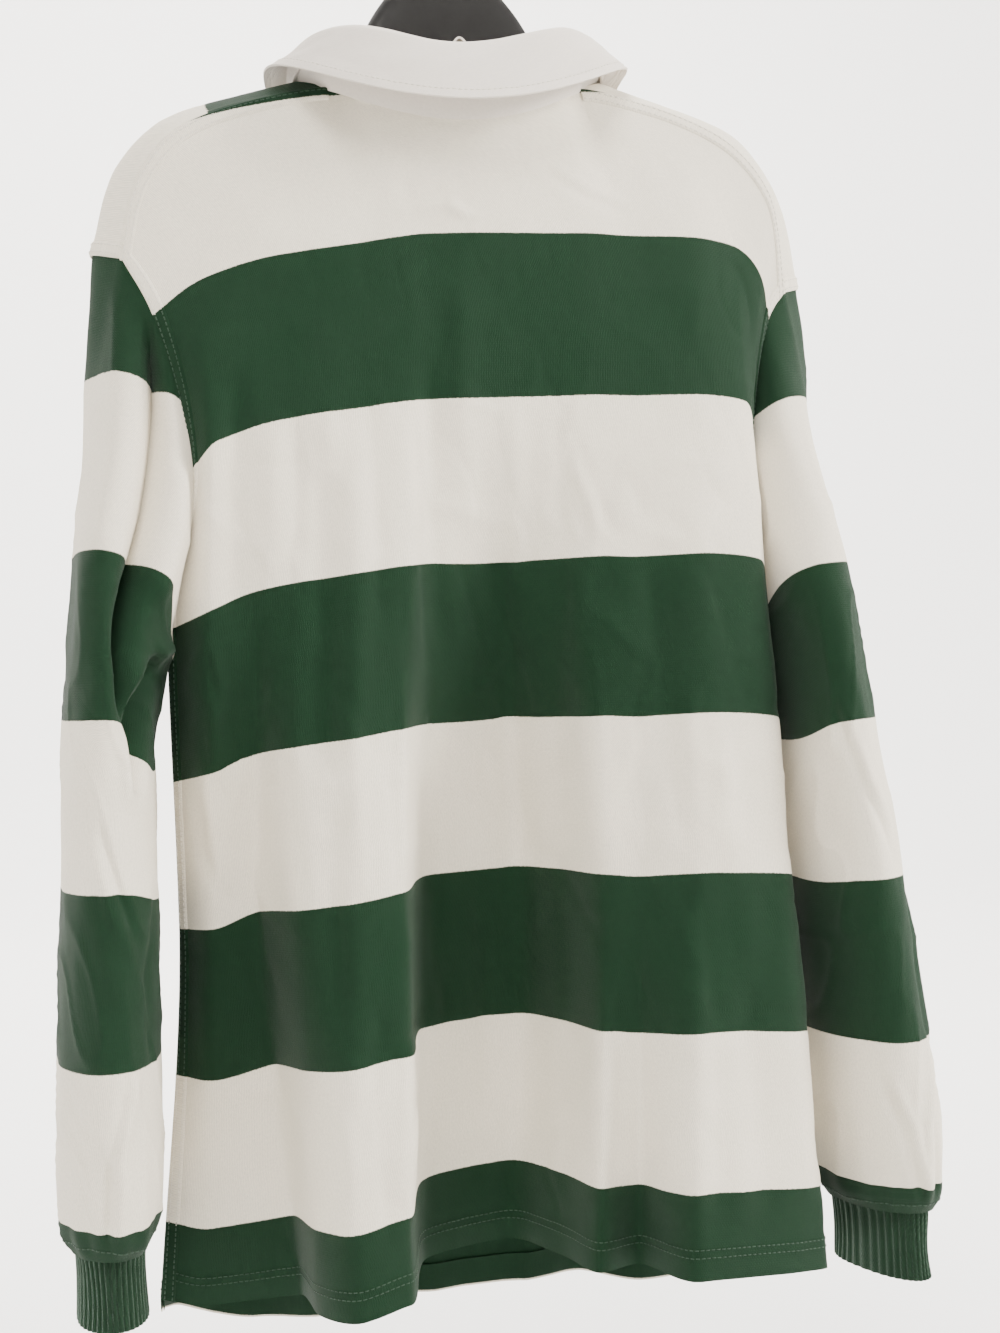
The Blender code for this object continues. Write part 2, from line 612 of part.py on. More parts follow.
def build_loop():
    """The locker loop: a tape arched up inside centre back."""
    half = LOOP_WIDTH / 2.0
    right_half = [(half * 0.4, -4.0), (half * 0.85, -LOOP_HEIGHT * 0.45), (half, -LOOP_HEIGHT)]
    arch = [(-x, z) for x, z in reversed(right_half)] + [(0.0, 0.0)] + right_half
    rows = []
    for shift in (-LOOP_TAPE / 2.0, LOOP_TAPE / 2.0):
        rows.append([(HANGER_X + x, LOOP_Y + shift, LOOP_TOP_Z + z) for x, z in arch])
    cloth_solid("locker_loop", np.array(rows), LOOP_WALL, "twill_cream")


def build_vent_tapes():
    """A short tape inside each side vent, on the back's edge."""
    back = fold_points(BACK_FOLDS, BACK_LEVELS)
    rows = np.linspace(0.0, 1.0, 4)
    for name, edge, inward in (("left_vent_tape", 0, 1),
                               ("right_vent_tape", len(BACK_FOLDS) - 1, -1)):
        seam, inside = back[4:, edge], back[4:, edge + inward]
        fall = BACK_LEVELS[4][1] - BACK_HEM_Z
        start = 1.0 - (TAPE_LENGTH + TAPE_UP) / fall
        at = start + rows * (TAPE_LENGTH / fall)
        outer = np.array([seam[0] + (seam[1] - seam[0]) * share for share in at])
        inner = np.array([inside[0] + (inside[1] - inside[0]) * share for share in at])
        toward = inner - outer
        toward /= np.linalg.norm(toward, axis=1, keepdims=True)
        grid = np.stack([outer + toward * TAPE_IN, outer + toward * (TAPE_IN + TAPE_WIDTH)], axis=1)
        if inward < 0:
            grid = grid[:, ::-1]
        grid = grid - outward(grid, False) * TAPE_CLEAR
        cloth_solid(name, grid, TAPE_WALL, "twill_cream")


def build_hanger():
    """A broad moulded hanger, lofted from its sections, and its fixed steel hook."""
    sides = 12
    half = list(HANGER_SECTIONS)
    mirrored = [(-row[0], *row[1:]) for row in reversed(half[1:])]
    points = []
    for x, top, bottom, depth in mirrored + half:
        middle, reach = (top + bottom) / 2.0, (top - bottom) / 2.0
        for side in range(sides):
            angle = 2.0 * math.pi * side / sides
            up = math.sin(angle)
            along_y = math.cos(angle)
            squared = math.copysign(abs(along_y) ** HANGER_SQUARENESS, along_y)
            points.append((HANGER_X + x, squared * depth, middle + up * reach))
    count = len(mirrored) + len(half)
    faces = [tuple(range(sides)), tuple(range((count - 1) * sides, count * sides))]
    for ring in range(count - 1):
        for side in range(sides):
            after = (side + 1) % sides
            faces.append((ring * sides + side, ring * sides + after,
                          (ring + 1) * sides + after, (ring + 1) * sides + side))
    add_object("hanger_body", points, faces, "hanger_black")


def build_hook():
    """Steel wire: a stem from the hanger's top and a round hook over the rail."""
    centre_z = HOOK_RISE + HOOK_WIRE - HOOK_RADIUS
    curve = bpy.data.curves.new("hanger_hook", "CURVE")
    curve.dimensions = "3D"
    curve.bevel_depth = HOOK_WIRE * MM
    curve.bevel_resolution = 2
    curve.use_fill_caps = True
    stem_foot = HANGER_SECTIONS[0][1] + LAID_ON
    path = [(0.0, stem_foot), (0.0, stem_foot + 3.0)]
    for step in range(25):
        angle = math.radians(HOOK_TURN[0] + (HOOK_TURN[1] - HOOK_TURN[0]) * step / 24)
        path.append((HOOK_RADIUS * math.cos(angle), centre_z + HOOK_RADIUS * math.sin(angle)))
    spline = curve.splines.new("POLY")
    spline.points.add(len(path) - 1)
    for point, (x, z) in zip(spline.points, path):
        point.co = (x * MM, 0.0, (z - HOOK_RISE) * MM, 1.0)
    curve.materials.append(material("hook_steel"))
    obj = bpy.data.objects.new("hanger_hook", curve)
    bpy.context.scene.collection.objects.link(obj)


def main():
    clear_scene()
    build_panels()
    build_sleeves()
    build_collar()
    build_placket()
    build_loop()
    build_vent_tapes()
    build_hanger()
    build_hook()


main()
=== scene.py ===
"""A rugby shirt in wide hoops on a black hanger: fine cloth, stitching and finishes.

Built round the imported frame, in metres with +Z up. The fold tables are in
millimetres from a datum HOOK_RISE below the point where the hook bears; the
shirt's back faces +Y and the wearer's left arm is at +X.
"""

import math

import bpy
import numpy as np
from mathutils import Matrix, Vector


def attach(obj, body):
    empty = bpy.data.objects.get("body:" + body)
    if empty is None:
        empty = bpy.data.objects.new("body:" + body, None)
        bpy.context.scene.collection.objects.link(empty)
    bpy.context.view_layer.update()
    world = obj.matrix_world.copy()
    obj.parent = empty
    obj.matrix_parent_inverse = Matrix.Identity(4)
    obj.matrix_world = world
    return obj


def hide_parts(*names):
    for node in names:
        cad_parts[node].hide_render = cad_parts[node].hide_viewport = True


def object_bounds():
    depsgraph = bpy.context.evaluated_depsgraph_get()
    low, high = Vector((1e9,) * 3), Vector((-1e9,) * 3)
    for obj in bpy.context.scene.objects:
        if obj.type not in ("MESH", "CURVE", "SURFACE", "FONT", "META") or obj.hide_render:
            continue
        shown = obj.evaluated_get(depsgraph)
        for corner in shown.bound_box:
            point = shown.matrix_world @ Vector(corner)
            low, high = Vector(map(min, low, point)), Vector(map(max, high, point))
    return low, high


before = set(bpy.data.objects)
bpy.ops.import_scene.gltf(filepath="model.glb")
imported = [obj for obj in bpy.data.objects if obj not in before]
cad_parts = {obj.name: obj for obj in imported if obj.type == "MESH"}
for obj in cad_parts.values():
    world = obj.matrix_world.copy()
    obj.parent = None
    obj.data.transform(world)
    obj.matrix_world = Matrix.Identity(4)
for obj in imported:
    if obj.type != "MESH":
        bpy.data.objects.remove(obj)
CAD_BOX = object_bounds()

bl_info = {
    "name": "Rugby shirt on a hanger",
    "version": (1, 0, 0),
    "blender": (4, 5, 0),
    "location": "3D View > Sidebar > Shirt",
    "description": "Builds a hooped rugby shirt, its stitching and its hanger",
    "category": "Object",
}

MM = 0.001
BODY = "root"

# Sizes that the fold tables share with the frame, in millimetres
HOOK_RISE = 30.0
HANGER_X = -6.0           # where the hook, hanger and neck sit in the tables
HOOP = 101.6
YOKE_Z = -225.0
BACK_HEM_Z = -889.0
FRONT_HEM_Z = -938.0
SIDE_CLEAR = 1.2
UNDERARM_LEVEL = 3.0
SLIT_FOLD = "left_slit"
SLIT_LENGTH = 130.0
FINE = 5                  # fine columns to each of the frame's
SHELL = 1.0               # thickness of the fine cloth
TUCK = 3.0                # how far a piece runs under the one sewn over it
UNDER = 1.3               # and how far below it

NECK = {"half_width": 92.0, "back_y": 62.0, "front_y": 70.0,
        "back_z": -155.0, "side_z": -118.0, "front_z": -204.0, "corner_rise": 0.0}
# The collar's folded edge and its outer edge, on the same angles
COLLAR_ROLL = {"half_width": 104.0, "back_y": 70.0, "front_y": 76.0,
               "back_z": -113.0, "side_z": -107.0, "front_z": -164.0, "corner_rise": 14.0}
COLLAR_EDGE = {"half_width": 119.0, "back_y": 91.0, "front_y": 100.0,
               "back_z": -153.0, "side_z": -108.0, "front_z": -234.0, "corner_rise": 0.0}
STAND_END_ANGLE = 174.0
LEAF_END_ANGLE = 162.0

# Levels of the torso: name, height, rows of fine faces above it
BACK_LEVELS = (("top", None, 0), ("yoke", YOKE_Z, 30), ("chest", YOKE_Z - HOOP, 32),
               ("underarm", YOKE_Z - 2 * HOOP, 32), ("waist", YOKE_Z - 4 * HOOP, 56),
               ("hem", BACK_HEM_Z, 66))
FRONT_LEVELS = (("seam", None, 0), ("ridge", None, 14), ("yoke", YOKE_Z, 30),
                ("chest", YOKE_Z - HOOP, 26), ("underarm", YOKE_Z - 2 * HOOP, 26),
                ("waist", YOKE_Z - 4 * HOOP, 44), ("hem", FRONT_HEM_Z, 52))

# Fold lines across each panel: top point or angle round the neck, x and y at
# each level, drops at yoke, waist and hem, columns to the next fold
BACK_FOLDS = (
    # name, top, yoke, chest, underarm, waist, hem, drops, columns
    ("left_seam",      (207, 26, -231),    (190, 30),   (171, 30),   (191, 6),    (194, -38),
     (219, -54), (43, 24, 12), 3),
    ("left_flank",     (197, 28, -188),    (162, 40),   (158, 47),   (164, 38),   (172, -12),
     (187, -55), (24, 22, 20), 3),
    ("flank_crease",   (171, 29, -154),    (120, 48),   (125, 48),   (135, 40),   (146, -8),
     (127, -38), (12, 13, 14), 3),
    ("ridge_left",     (132, 29, -137),    (98, 50),    (104, 50),   (110, 48),   (118, 38),
     (119, 18),  (9, 8, 8),   2),
    ("ridge_crown",    62.0,               (70, 53),    (75, 52),    (80, 52),    (88, 52),
     (94, 48),   (6, 5, 5),   2),
    ("ridge_right",    36.0,               (40, 55),    (42, 52),    (46, 49),    (56, 46),
     (64, 42),   (2, 1, 0),   3),
    ("valley_left",    16.0,               (18, 56),    (20, 50),    (22, 34),    (33, -22),
     (44, -38),  (0, 0, 0),   3),
    ("valley_floor",   -4.0,               (-12, 57),   (-10, 49),   (-14, 20),   (-26, -44),
     (-14, -62), (0, 0, 0),   3),
    ("valley_right",   -22.0,              (-48, 55),   (-48, 49),   (-50, 33),   (-54, -12),
     (-44, -18), (0, 0, 0),   2),
    ("shoulder_right", -41.0,              (-80, 53),   (-80, 50),   (-80, 46),   (-76, 34),
     (-62, 24),  (0, 0, 0),   2),
    ("hem_dip",        -62.0,              (-108, 50),  (-108, 50),  (-105, 50),  (-98, 40),
     (-90, 8),   (1, 2, 2),   2),
    ("right_crown",    (-132, 29, -136),   (-150, 48),  (-148, 51),  (-144, 54),  (-133, 58),
     (-118, 60), (2, 1, 0),   3),
    ("right_edge",     (-188, 27, -161),   (-183, 38),  (-183, 42),  (-187, 42),  (-196, 42),
     (-210, 34), (6, 8, 10),  2),
    ("right_return",   (-215, 24, -200),   (-202, 32),  (-190, 31),  (-194, 26),  (-200, 16),
     (-214, 8),  (25, 17, 12), 3),
    ("right_seam",     (-222, 18, -256),   (-209, 20),  (-194, 12),  (-198, 0),   (-196, -14),
     (-208, -14), (50, 27, 12), 0),
)
FRONT_FOLDS = (
    # name, seam, ridge, yoke, chest, underarm, waist, hem, drops, columns
    ("left_seam",   (207, 26, -231),   (227, -2, -223),   (200, -34),  (180, -38),  (192, 3),
     (195, -41),   (220, -61),   (43, 24, -28), 3),
    ("left_edge",   (197, 28, -188),   (212, -2, -174),   (190, -48),  (184, -62),  (186, -70),
     (189, -92),   (206, -106),  (25, 17, -12), 3),
    ("left_crown",  (171, 29, -154),   (178, -2, -138),   (156, -58),  (152, -74),  (150, -88),
     (150, -108),  (156, -124),  (12, 10, 8),  3),
    ("left_hollow", (132, 29, -137),   (138, -2, -125),   (120, -60),  (113, -68),  (108, -75),
     (106, -88),   (110, -100),  (8, 6, 4),   2),
    ("left_neck",   62.0,              (95, 3, -115),     (90, -62),   (78, -76),   (72, -88),
     (68, -106),   (72, -124),   (4, 3, 2),   2),
    ("left_side",   86.0,              (92, -20, -127),   (68, -66),   (58, -78),   (50, -88),
     (48, -103),   (50, -116),   (2, 1, 0),   1),
    ("left_throat", 118.0,             (78, -42, -154),   (46, -70),   (38, -80),   (33, -90),
     (31, -102),   (31, -112),   (0, 0, 0),   2),
    ("left_collar", 147.0,             (44, -63.5, -193),   (28, -72),   (24, -81),   (22, -91),
     (20, -103),   (20, -114),   (0, 0, 0),   1),
    ("left_slit",   170.0,             (10, -72, -211),   (10, -74),   (10, -82),   (8, -92),
     (6, -104),   (6, -116),   (0, 0, 0),   2),
    ("right_slit",  -170.0,            (-22, -72, -211),  (-22, -74),  (-22, -82),  (-20, -92),
     (-18, -104),  (-18, -116),  (0, 0, 0),   1),
    ("right_collar", -147.0,           (-56, -63.5, -193),  (-39, -72),  (-34, -81),  (-32, -91),
     (-30, -103),  (-30, -114),  (0, 0, 0),   2),
    ("right_throat", -118.0,           (-90, -42, -154),  (-53, -70),  (-45, -80),  (-40, -90),
     (-38, -102),  (-38, -112),  (0, 0, 0),   1),
    ("right_side",  -86.0,             (-104, -20, -127), (-72, -66),  (-62, -78),  (-54, -88),
     (-52, -103),  (-54, -116),  (2, 1, 0),   2),
    ("right_neck",  -62.0,             (-107, 3, -115),   (-92, -62),  (-80, -76),  (-74, -88),
     (-72, -106),  (-78, -126),  (4, 3, 2),   2),
    ("right_hollow", (-132, 29, -136), (-138, -2, -125),  (-120, -60), (-113, -68), (-110, -75),
     (-110, -88),  (-118, -98),  (8, 6, 4),   3),
    ("right_crown", (-188, 27, -161),  (-200, -2, -151),  (-170, -56), (-160, -72), (-156, -84),
     (-158, -100), (-168, -114), (14, 10, 8),  2),
    ("right_edge",  (-215, 24, -200),  (-230, -3, -200),  (-200, -46), (-188, -60), (-190, -66),
     (-192, -80),  (-206, -84),  (30, 19, -12), 3),
    ("right_seam",  (-222, 18, -256),  (-239, -5, -250),  (-212, -30), (-196, -34), (-199, -3),
     (-197, -17),  (-209, -21),  (50, 27, -28), 0),
)

SLEEVE_SECTIONS = (
    # depth below the cap, centre out: left, right, centre y, half length, half thickness,
    # turn outward in front: left, right (degrees)
    (0.0, 208, 216, -2, 44, 17, 0, 0),
    (75.0, 217, 223, -3, 64, 19, 2, 3),
    (175.0, 225, 230, -4, 76, 22, 3, 3),
    (295.0, 233, 237, -5, 76, 28, 3, -3),
    (425.0, 239, 249.5, -6, 70, 30, 4, -8),
    (540.0, 244, 262, -6, 62, 32, 5, -12),
    (585.0, 246, 264, -4, 53, 30, 6, -17),
    (602.0, 247, 263, -2, 43, 23, 8, -22),
)
SLEEVE = {"left": {"side": 1, "cap_z": -242.0, "column": 0, "cuff": (36.0, 21.0), "sag": 34.0},
          "right": {"side": -1, "cap_z": -268.0, "column": 1, "cuff": (41.0, 16.0), "sag": 12.0}}
SLEEVE_LENGTH = 600.0
UNDERARM_DEPTH = 165.0
CAP_REACH = 150.0
WEDGE_TIPS = (60.0, 150.0)   # where the green over the front of each shoulder ends: right, left
WEDGE_SLOPE = 0.5         # how fast it widens from there to the neck
SLEEVE_HOOP_START = 70.0  # first stripe edge below the top of the cap
SLEEVE_COLUMNS = 120
SLEEVE_ROWS = 190
CUFF_LENGTH = 45.0
CUFF_RIBS = 38

PLACKET_WIDTH = 36.0
UNDER_WIDTH = 29.0
PLACKET_LENGTH = 148.0
BUTTON_DROPS = (22.0, 68.0, 114.0)
BUTTON_RADIUS = 6.5
TWILL = 1.4
WALL = 1.6
LAID_ON = 0.4
TAPE_LENGTH = 42.0
TAPE_WIDTH = 9.0

HANGER_SECTIONS = (
    # x, top z, bottom z, half depth
    (0.0,   -36.0,  -150.0, 13.0),
    (16.0,  -38.5,  -150.0, 13.0),
    (28.0,  -47.0,  -150.0, 13.5),
    (38.5,  -58.5,  -150.5, 14.0),
    (50.0,  -75.0,  -151.0, 15.0),
    (59.0,  -94.0,  -152.0, 14.5),
    (69.0,  -116.0, -153.0, 13.0),
    (81.0,  -131.0, -155.0, 12.0),
    (100.0, -135.0, -158.0, 14.0),
    (132.0, -139.0, -162.0, 15.0),
    (165.0, -149.0, -169.0, 14.0),
    (184.0, -162.0, -177.0, 12.0),
    (193.0, -170.0, -179.0, 9.0),
)
HANGER_SIDES = 56         # points round the hanger
HANGER_TIP = 2.0          # how far its tips round out past the last section
HOOK_WIRE = 2.0
HOOK_RADIUS = 19.0

HEM_DEPTH = 20.5          # how deep the hems are turned in
HEM_STITCHES = (14.5, 19.5)
LEAF_STITCH = 5.5         # the collar leaf's stitching, in from its edge
HOLE_RADIUS = 0.75        # the buttons' holes, and how far out they are
HOLE_OUT = 1.25
SHEEN_ROUGHNESS = 0.45

# The buttons' profile: share of the radius, and height
BUTTON_RINGS = ((0.8, 0.0), (0.96, 0.25), (1.0, 0.8), (1.0, 1.6), (0.96, 2.2), (0.86, 2.55),
                (0.76, 2.45), (0.68, 2.0), (0.6, 1.85), (0.2, 1.85))

# The stage's lights: name, place, what they face, size and power
LIGHTS = (
    ("window_light", (-2.4, 1.0, 0.8), (0.0, 0.0, -0.45), 1.1, 150.0),
    ("ceiling_light", (0.6, 1.7, 2.0), (0.0, 0.0, -0.5), 1.3, 105.0),
    ("cove_light", (0.0, -1.6, 2.6), (0.0, -4.4, -0.9), 2.6, 430.0),
    ("front_fill", (0.8, -3.0, 1.2), (0.0, 0.0, -0.5), 2.0, 45.0),
)
LIGHT_COLOUR = (1.0, 0.975, 0.94)
AIR_COLOUR = (1.0, 0.99, 0.975, 1.0)
AIR_STRENGTH = 0.3
CAMERA_PLACE = (0.1795, 1.101, -0.525)
CAMERA_TURN = 10.0        # degrees to one side of level behind
CAMERA_TILT = -3.0
CAMERA_LENS = 46.1

# Creases in the back: height out of the cloth (mm), half width, then x and z
BACK_CREASES = (
    (-5.0, 9.0, (88, -352), (96, -470), (102, -560)),
    (3.0, 9.0, (70, -352), (76, -470), (84, -560)),
    (-3.4, 8.0, (140, -300), (146, -380), (150, -470)),
    (2.6, 8.0, (120, -330), (126, -420), (130, -520)),
    (-3.6, 9.0, (22, -300), (24, -400), (20, -500)),
    (-2.8, 8.0, (-20, -420), (-30, -540), (-34, -640)),
    (2.6, 9.0, (-60, -400), (-72, -520), (-78, -640)),
    (-2.8, 9.0, (-112, -420), (-118, -540), (-124, -680)),
    (2.2, 10.0, (-140, -380), (-148, -520), (-150, -660)),
    (-4.0, 9.0, (96, -560), (100, -640), (98, -720)),
    (3.0, 8.0, (58, -640), (60, -720), (56, -830)),
    (-3.0, 8.0, (28, -560), (26, -640), (20, -740)),
    (-3.0, 9.0, (-160, -700), (-164, -780), (-168, -870)),
    (2.4, 8.0, (-186, -620), (-190, -740), (-196, -860)),
    (2.2, 9.0, (0, -250), (2, -330), (0, -420)),
    (-1.6, 5.0, (-58, -330), (-60, -480)),
    (1.3, 6.0, (-30, -325), (-32, -470)),
    (-1.5, 5.0, (62, -325), (60, -470)),
    (1.5, 6.0, (86, -325), (92, -470)),
    (-1.2, 4.0, (34, -330), (30, -500)),
    (-2.0, 6.0, (106, -330), (110, -430)),
    (1.4, 4.0, (-66, -368), (-78, -400), (-80, -418)),
    (-1.0, 3.0, (-60, -368), (-71, -402), (-74, -420)),
    (1.2, 3.5, (8, -205), (-6, -216)),
    (0.9, 3.0, (-58, -180), (-84, -196), (-112, -206)),
    (-0.9, 3.0, (-56, -186), (-82, -202), (-110, -212)),
    (0.8, 3.0, (40, -212), (14, -207), (-16, -216)),
    (-1.6, 5.0, (-4, -640), (-8, -700), (-4, -810)),
    (1.8, 7.0, (-22, -640), (-24, -700), (-22, -830)),
    (-1.7, 6.0, (-74, -640), (-80, -760), (-72, -850)),
    (1.7, 7.0, (-100, -640), (-104, -760), (-106, -860)),
    (-1.5, 6.0, (-132, -640), (-138, -760), (-136, -870)),
    (1.3, 6.0, (-150, -540), (-158, -640), (-160, -700)),
    (-1.3, 4.0, (-96, -560), (-106, -620), (-124, -660)),
    (1.2, 4.0, (-110, -560), (-118, -612), (-132, -640)),
    (-1.5, 5.0, (60, -530), (58, -640)),
    (1.4, 5.0, (82, -520), (80, -640)),
    (-1.2, 4.0, (122, -540), (118, -640)),
    (1.6, 5.0, (100, -760), (96, -800), (104, -850)),
    (-1.5, 5.0, (76, -700), (80, -770), (74, -860)),
    (1.2, 4.0, (60, -740), (66, -800), (58, -850)),
    (1.8, 5.0, (172, -560), (166, -600), (170, -640)),
    (-1.8, 5.0, (180, -560), (176, -605), (162, -640)),
    (1.6, 4.0, (164, -470), (160, -500), (170, -540)),
)
# Creases in a sleeve: height out, half width, then turn (degrees) and depth
SLEEVE_CREASES = {
    "left": (
        (-21.0, 9.0, (160, 8), (146, 50), (124, 95), (102, 145), (84, 195), (70, 245),
         (58, 310)),
        (4.0, 9.0, (176, 30), (160, 80), (136, 130), (116, 185)),
        (5.0, 9.0, (96, 105), (78, 145), (62, 195)),
        (-20.0, 9.0, (34, 222), (44, 262), (52, 320)),
        (5.0, 7.0, (62, 230), (68, 270), (66, 330)),
        (2.6, 7.0, (20, 190), (55, 250), (70, 300)),
        (-2.8, 7.0, (10, 210), (45, 275), (62, 320)),
        (3.4, 8.0, (-10, 170), (35, 215), (60, 262)),
        (-2.0, 5.0, (100, 330), (80, 372), (62, 400)),
        (2.0, 6.0, (110, 340), (88, 385), (64, 420)),
        (-1.5, 5.0, (150, 480), (110, 520), (84, 560)),
        (1.6, 5.0, (160, 500), (120, 545), (96, 575)),
        (2.2, 6.0, (60, 470), (80, 520), (90, 590)),
        (-1.8, 5.0, (74, 480), (92, 530), (100, 590)),
        (-2.2, 6.0, (30, 380), (50, 430), (40, 480)),
    ),
    "right": (
        (2.0, 6.0, (70, 250), (90, 310), (120, 350)),
        (-1.8, 5.0, (60, 262), (84, 322), (112, 366)),
        (2.6, 6.0, (120, 470), (96, 530), (84, 595)),
        (-2.4, 5.0, (134, 480), (108, 540), (96, 595)),
        (2.2, 5.0, (60, 490), (78, 540), (88, 590)),
        (-1.8, 5.0, (48, 500), (68, 552), (80, 595)),
        (1.6, 5.0, (150, 380), (130, 430), (134, 480)),
        (-1.5, 5.0, (140, 380), (120, 440), (122, 490)),
    ),
}


# ---------------------------------------------------------------- shapes

def flowing(values, at):
    """Values between rows of a table: a smooth line that never overshoots a row."""
    values = np.asarray(values, dtype=float)
    at = np.clip(np.asarray(at, dtype=float), 0.0, len(values) - 1.0)
    steps = np.diff(values, axis=0)
    slopes = np.zeros_like(values)
    before, after = steps[:-1], steps[1:]
    same_way = before * after > 0
    total = np.where(same_way, before + after, 1.0)
    slopes[1:-1] = np.where(same_way, 2.0 * before * after / total, 0.0)
    slopes[0], slopes[-1] = steps[0], steps[-1]
    index = np.minimum(at.astype(int), len(values) - 2)
    part = (at - index).reshape((-1,) + (1,) * (values.ndim - 1))
    start, end = values[index], values[index + 1]
    rise_in, rise_out = slopes[index], slopes[index + 1]
    return ((2 * part**3 - 3 * part**2 + 1) * start + (part**3 - 2 * part**2 + part) * rise_in
            + (3 * part**2 - 2 * part**3) * end + (part**3 - part**2) * rise_out)


def neck_loop(size, degrees):
    """Points of a loop round the neck, the angle counted from centre back."""
    angle = np.radians(np.asarray(degrees, dtype=float))
    forward = np.cos(angle) < 0
    reach = np.where(forward, size["front_y"], size["back_y"])
    far_z = np.where(forward, size["front_z"], size["back_z"])
    lean = np.cos(angle) ** 2
    rise = np.where(forward, 0.0, size["corner_rise"]) * np.sin(2.0 * angle) ** 2
    return np.stack([HANGER_X + size["half_width"] * np.sin(angle), reach * np.cos(angle),
                     size["side_z"] + (far_z - size["side_z"]) * lean + rise], axis=-1)


def fold_points(folds, levels):
    """Points [level, fold, x y z and distance down the cloth] of the fold lines."""
    waist, lowest = levels[-2][1], levels[-1][1]
    table = np.zeros((len(levels), len(folds), 4))
    for column, fold in enumerate(folds):
        drops = fold[-2]
        for row, (level, height, _) in enumerate(levels):
            place = fold[1 + row]
            if isinstance(place, float):
                table[row, column, :3] = neck_loop(NECK, place)
            elif len(place) == 3:
                table[row, column, :3] = place
            else:
                drop = np.interp(-height, (-YOKE_Z, -waist, -lowest), drops)
                table[row, column] = (*place, height - drop, YOKE_Z - height)
        above = [row for row, level in enumerate(levels) if level[1] is None]
        for row in reversed(above):
            step = np.linalg.norm(table[row, column, :3] - table[row + 1, column, :3])
            table[row, column, 3] = table[row + 1, column, 3] - step
            if len(above) > 1:
                x = table[row, column, 0]
                outer = abs(x) - WEDGE_TIPS[int(x > 0)]
                table[row, column, 3] = -HOOP + outer * WEDGE_SLOPE
    return table


def between(table, rows, columns):
    """The surface at fractional rows and columns of its fold lines."""
    across = flowing(np.swapaxes(table, 0, 1), columns)
    return flowing(np.swapaxes(across, 0, 1), rows)


def steps_through(counts):
    """Fractional table places for so many faces in each gap."""
    places = [0.0]
    for gap, count in enumerate(counts):
        places += [gap + (step + 1) / count for step in range(count)]
    return np.array(places)


def on_neck(grid, folds, columns):
    """Puts a panel's top row on the neck seam, where it runs round the neck."""
    for place, column in enumerate(columns):
        low = min(int(column), len(folds) - 2)
        ends = folds[low][1], folds[low + 1][1]
        round_neck = isinstance(ends[0], float) and isinstance(ends[1], float)
        if round_neck and abs(ends[1] - ends[0]) < 90.0:
            angle = ends[0] + (ends[1] - ends[0]) * (column - low)
            grid[0, place, :3] = neck_loop(NECK, angle)
    return grid


def outward(grid, closed=False):
    """Unit normals of a grid of points, rows down and columns across."""
    grid = grid[..., :3]
    if closed:
        wide = np.concatenate([grid[:, -1:], grid, grid[:, :1]], axis=1)
        across = np.gradient(wide, axis=1)[:, 1:-1]
    else:
        across = np.gradient(grid, axis=1)
    normals = np.cross(np.gradient(grid, axis=0), across)
    return normals / np.maximum(np.linalg.norm(normals, axis=-1, keepdims=True), 1e-9)


def run_of(grid, axis):
    """Distance along the rows or columns of a grid, from its first line."""
    steps = np.linalg.norm(np.diff(grid[..., :3], axis=axis), axis=-1)
    zero = np.zeros_like(np.take(steps, [0], axis=axis))
    return np.concatenate([zero, np.cumsum(steps, axis=axis)], axis=axis)


def lattice(index, seed):
    """Repeatable numbers from -1 to 1 on a lattice of whole numbers."""
    mixed = (index[0].astype(np.int64) * 374761393 + index[1].astype(np.int64) * 668265263
             + seed * 974634777)
    mixed = (mixed ^ (mixed >> 13)) * 1274126177
    mixed = mixed ^ (mixed >> 16)
    return (mixed & 0xFFFF) / 32767.5 - 1.0


def ripple(across, down, seed, round_to=None):
    """Smooth unevenness, about -1 to 1, one swell to a unit; round_to closes it up."""
    column, row = np.floor(across), np.floor(down)
    part_x, part_y = across - column, down - row
    soft_x = part_x * part_x * (3 - 2 * part_x)
    soft_y = part_y * part_y * (3 - 2 * part_y)
    value = 0.0
    for step_x in (0, 1):
        for step_y in (0, 1):
            weight = (soft_x if step_x else 1 - soft_x) * (soft_y if step_y else 1 - soft_y)
            place = (column + step_x) % round_to if round_to else column + step_x
            value = value + weight * lattice((place, row + step_y), seed)
    return value


def crease_height(across, down, creases, wrap=None):
    """Height that creases lift the cloth, from soft ridges and troughs on lines."""
    height = np.zeros_like(across)
    for rise, half_width, *points in creases:
        nearest = np.full(across.shape, 1e9)
        share = np.zeros_like(across)
        total = len(points) - 1
        for place, (start, end) in enumerate(zip(points, points[1:])):
            start, end = np.array(start, dtype=float), np.array(end, dtype=float)
            line = end - start
            off_x, off_z = across - start[0], down - start[1]
            if wrap:
                off_x = (off_x + wrap / 2) % wrap - wrap / 2
            at = np.clip((off_x * line[0] + off_z * line[1]) / line.dot(line), 0.0, 1.0)
            gap = np.hypot(off_x - at * line[0], off_z - at * line[1])
            closer = gap < nearest
            nearest = np.where(closer, gap, nearest)
            share = np.where(closer, (place + at) / total, share)
        ends = np.clip(np.sin(np.pi * np.clip(share, 0.0, 1.0)) * 2.2, 0.0, 1.0)
        height += rise * np.exp(-(nearest / half_width) ** 2) * ends
    return height


def smooth_step(value, low, high):
    """Nothing below low and one above high, with an even ease between."""
    part = np.clip((value - low) / (high - low), 0.0, 1.0)
    return part * part * (3 - 2 * part)


# ---------------------------------------------------------------- meshes

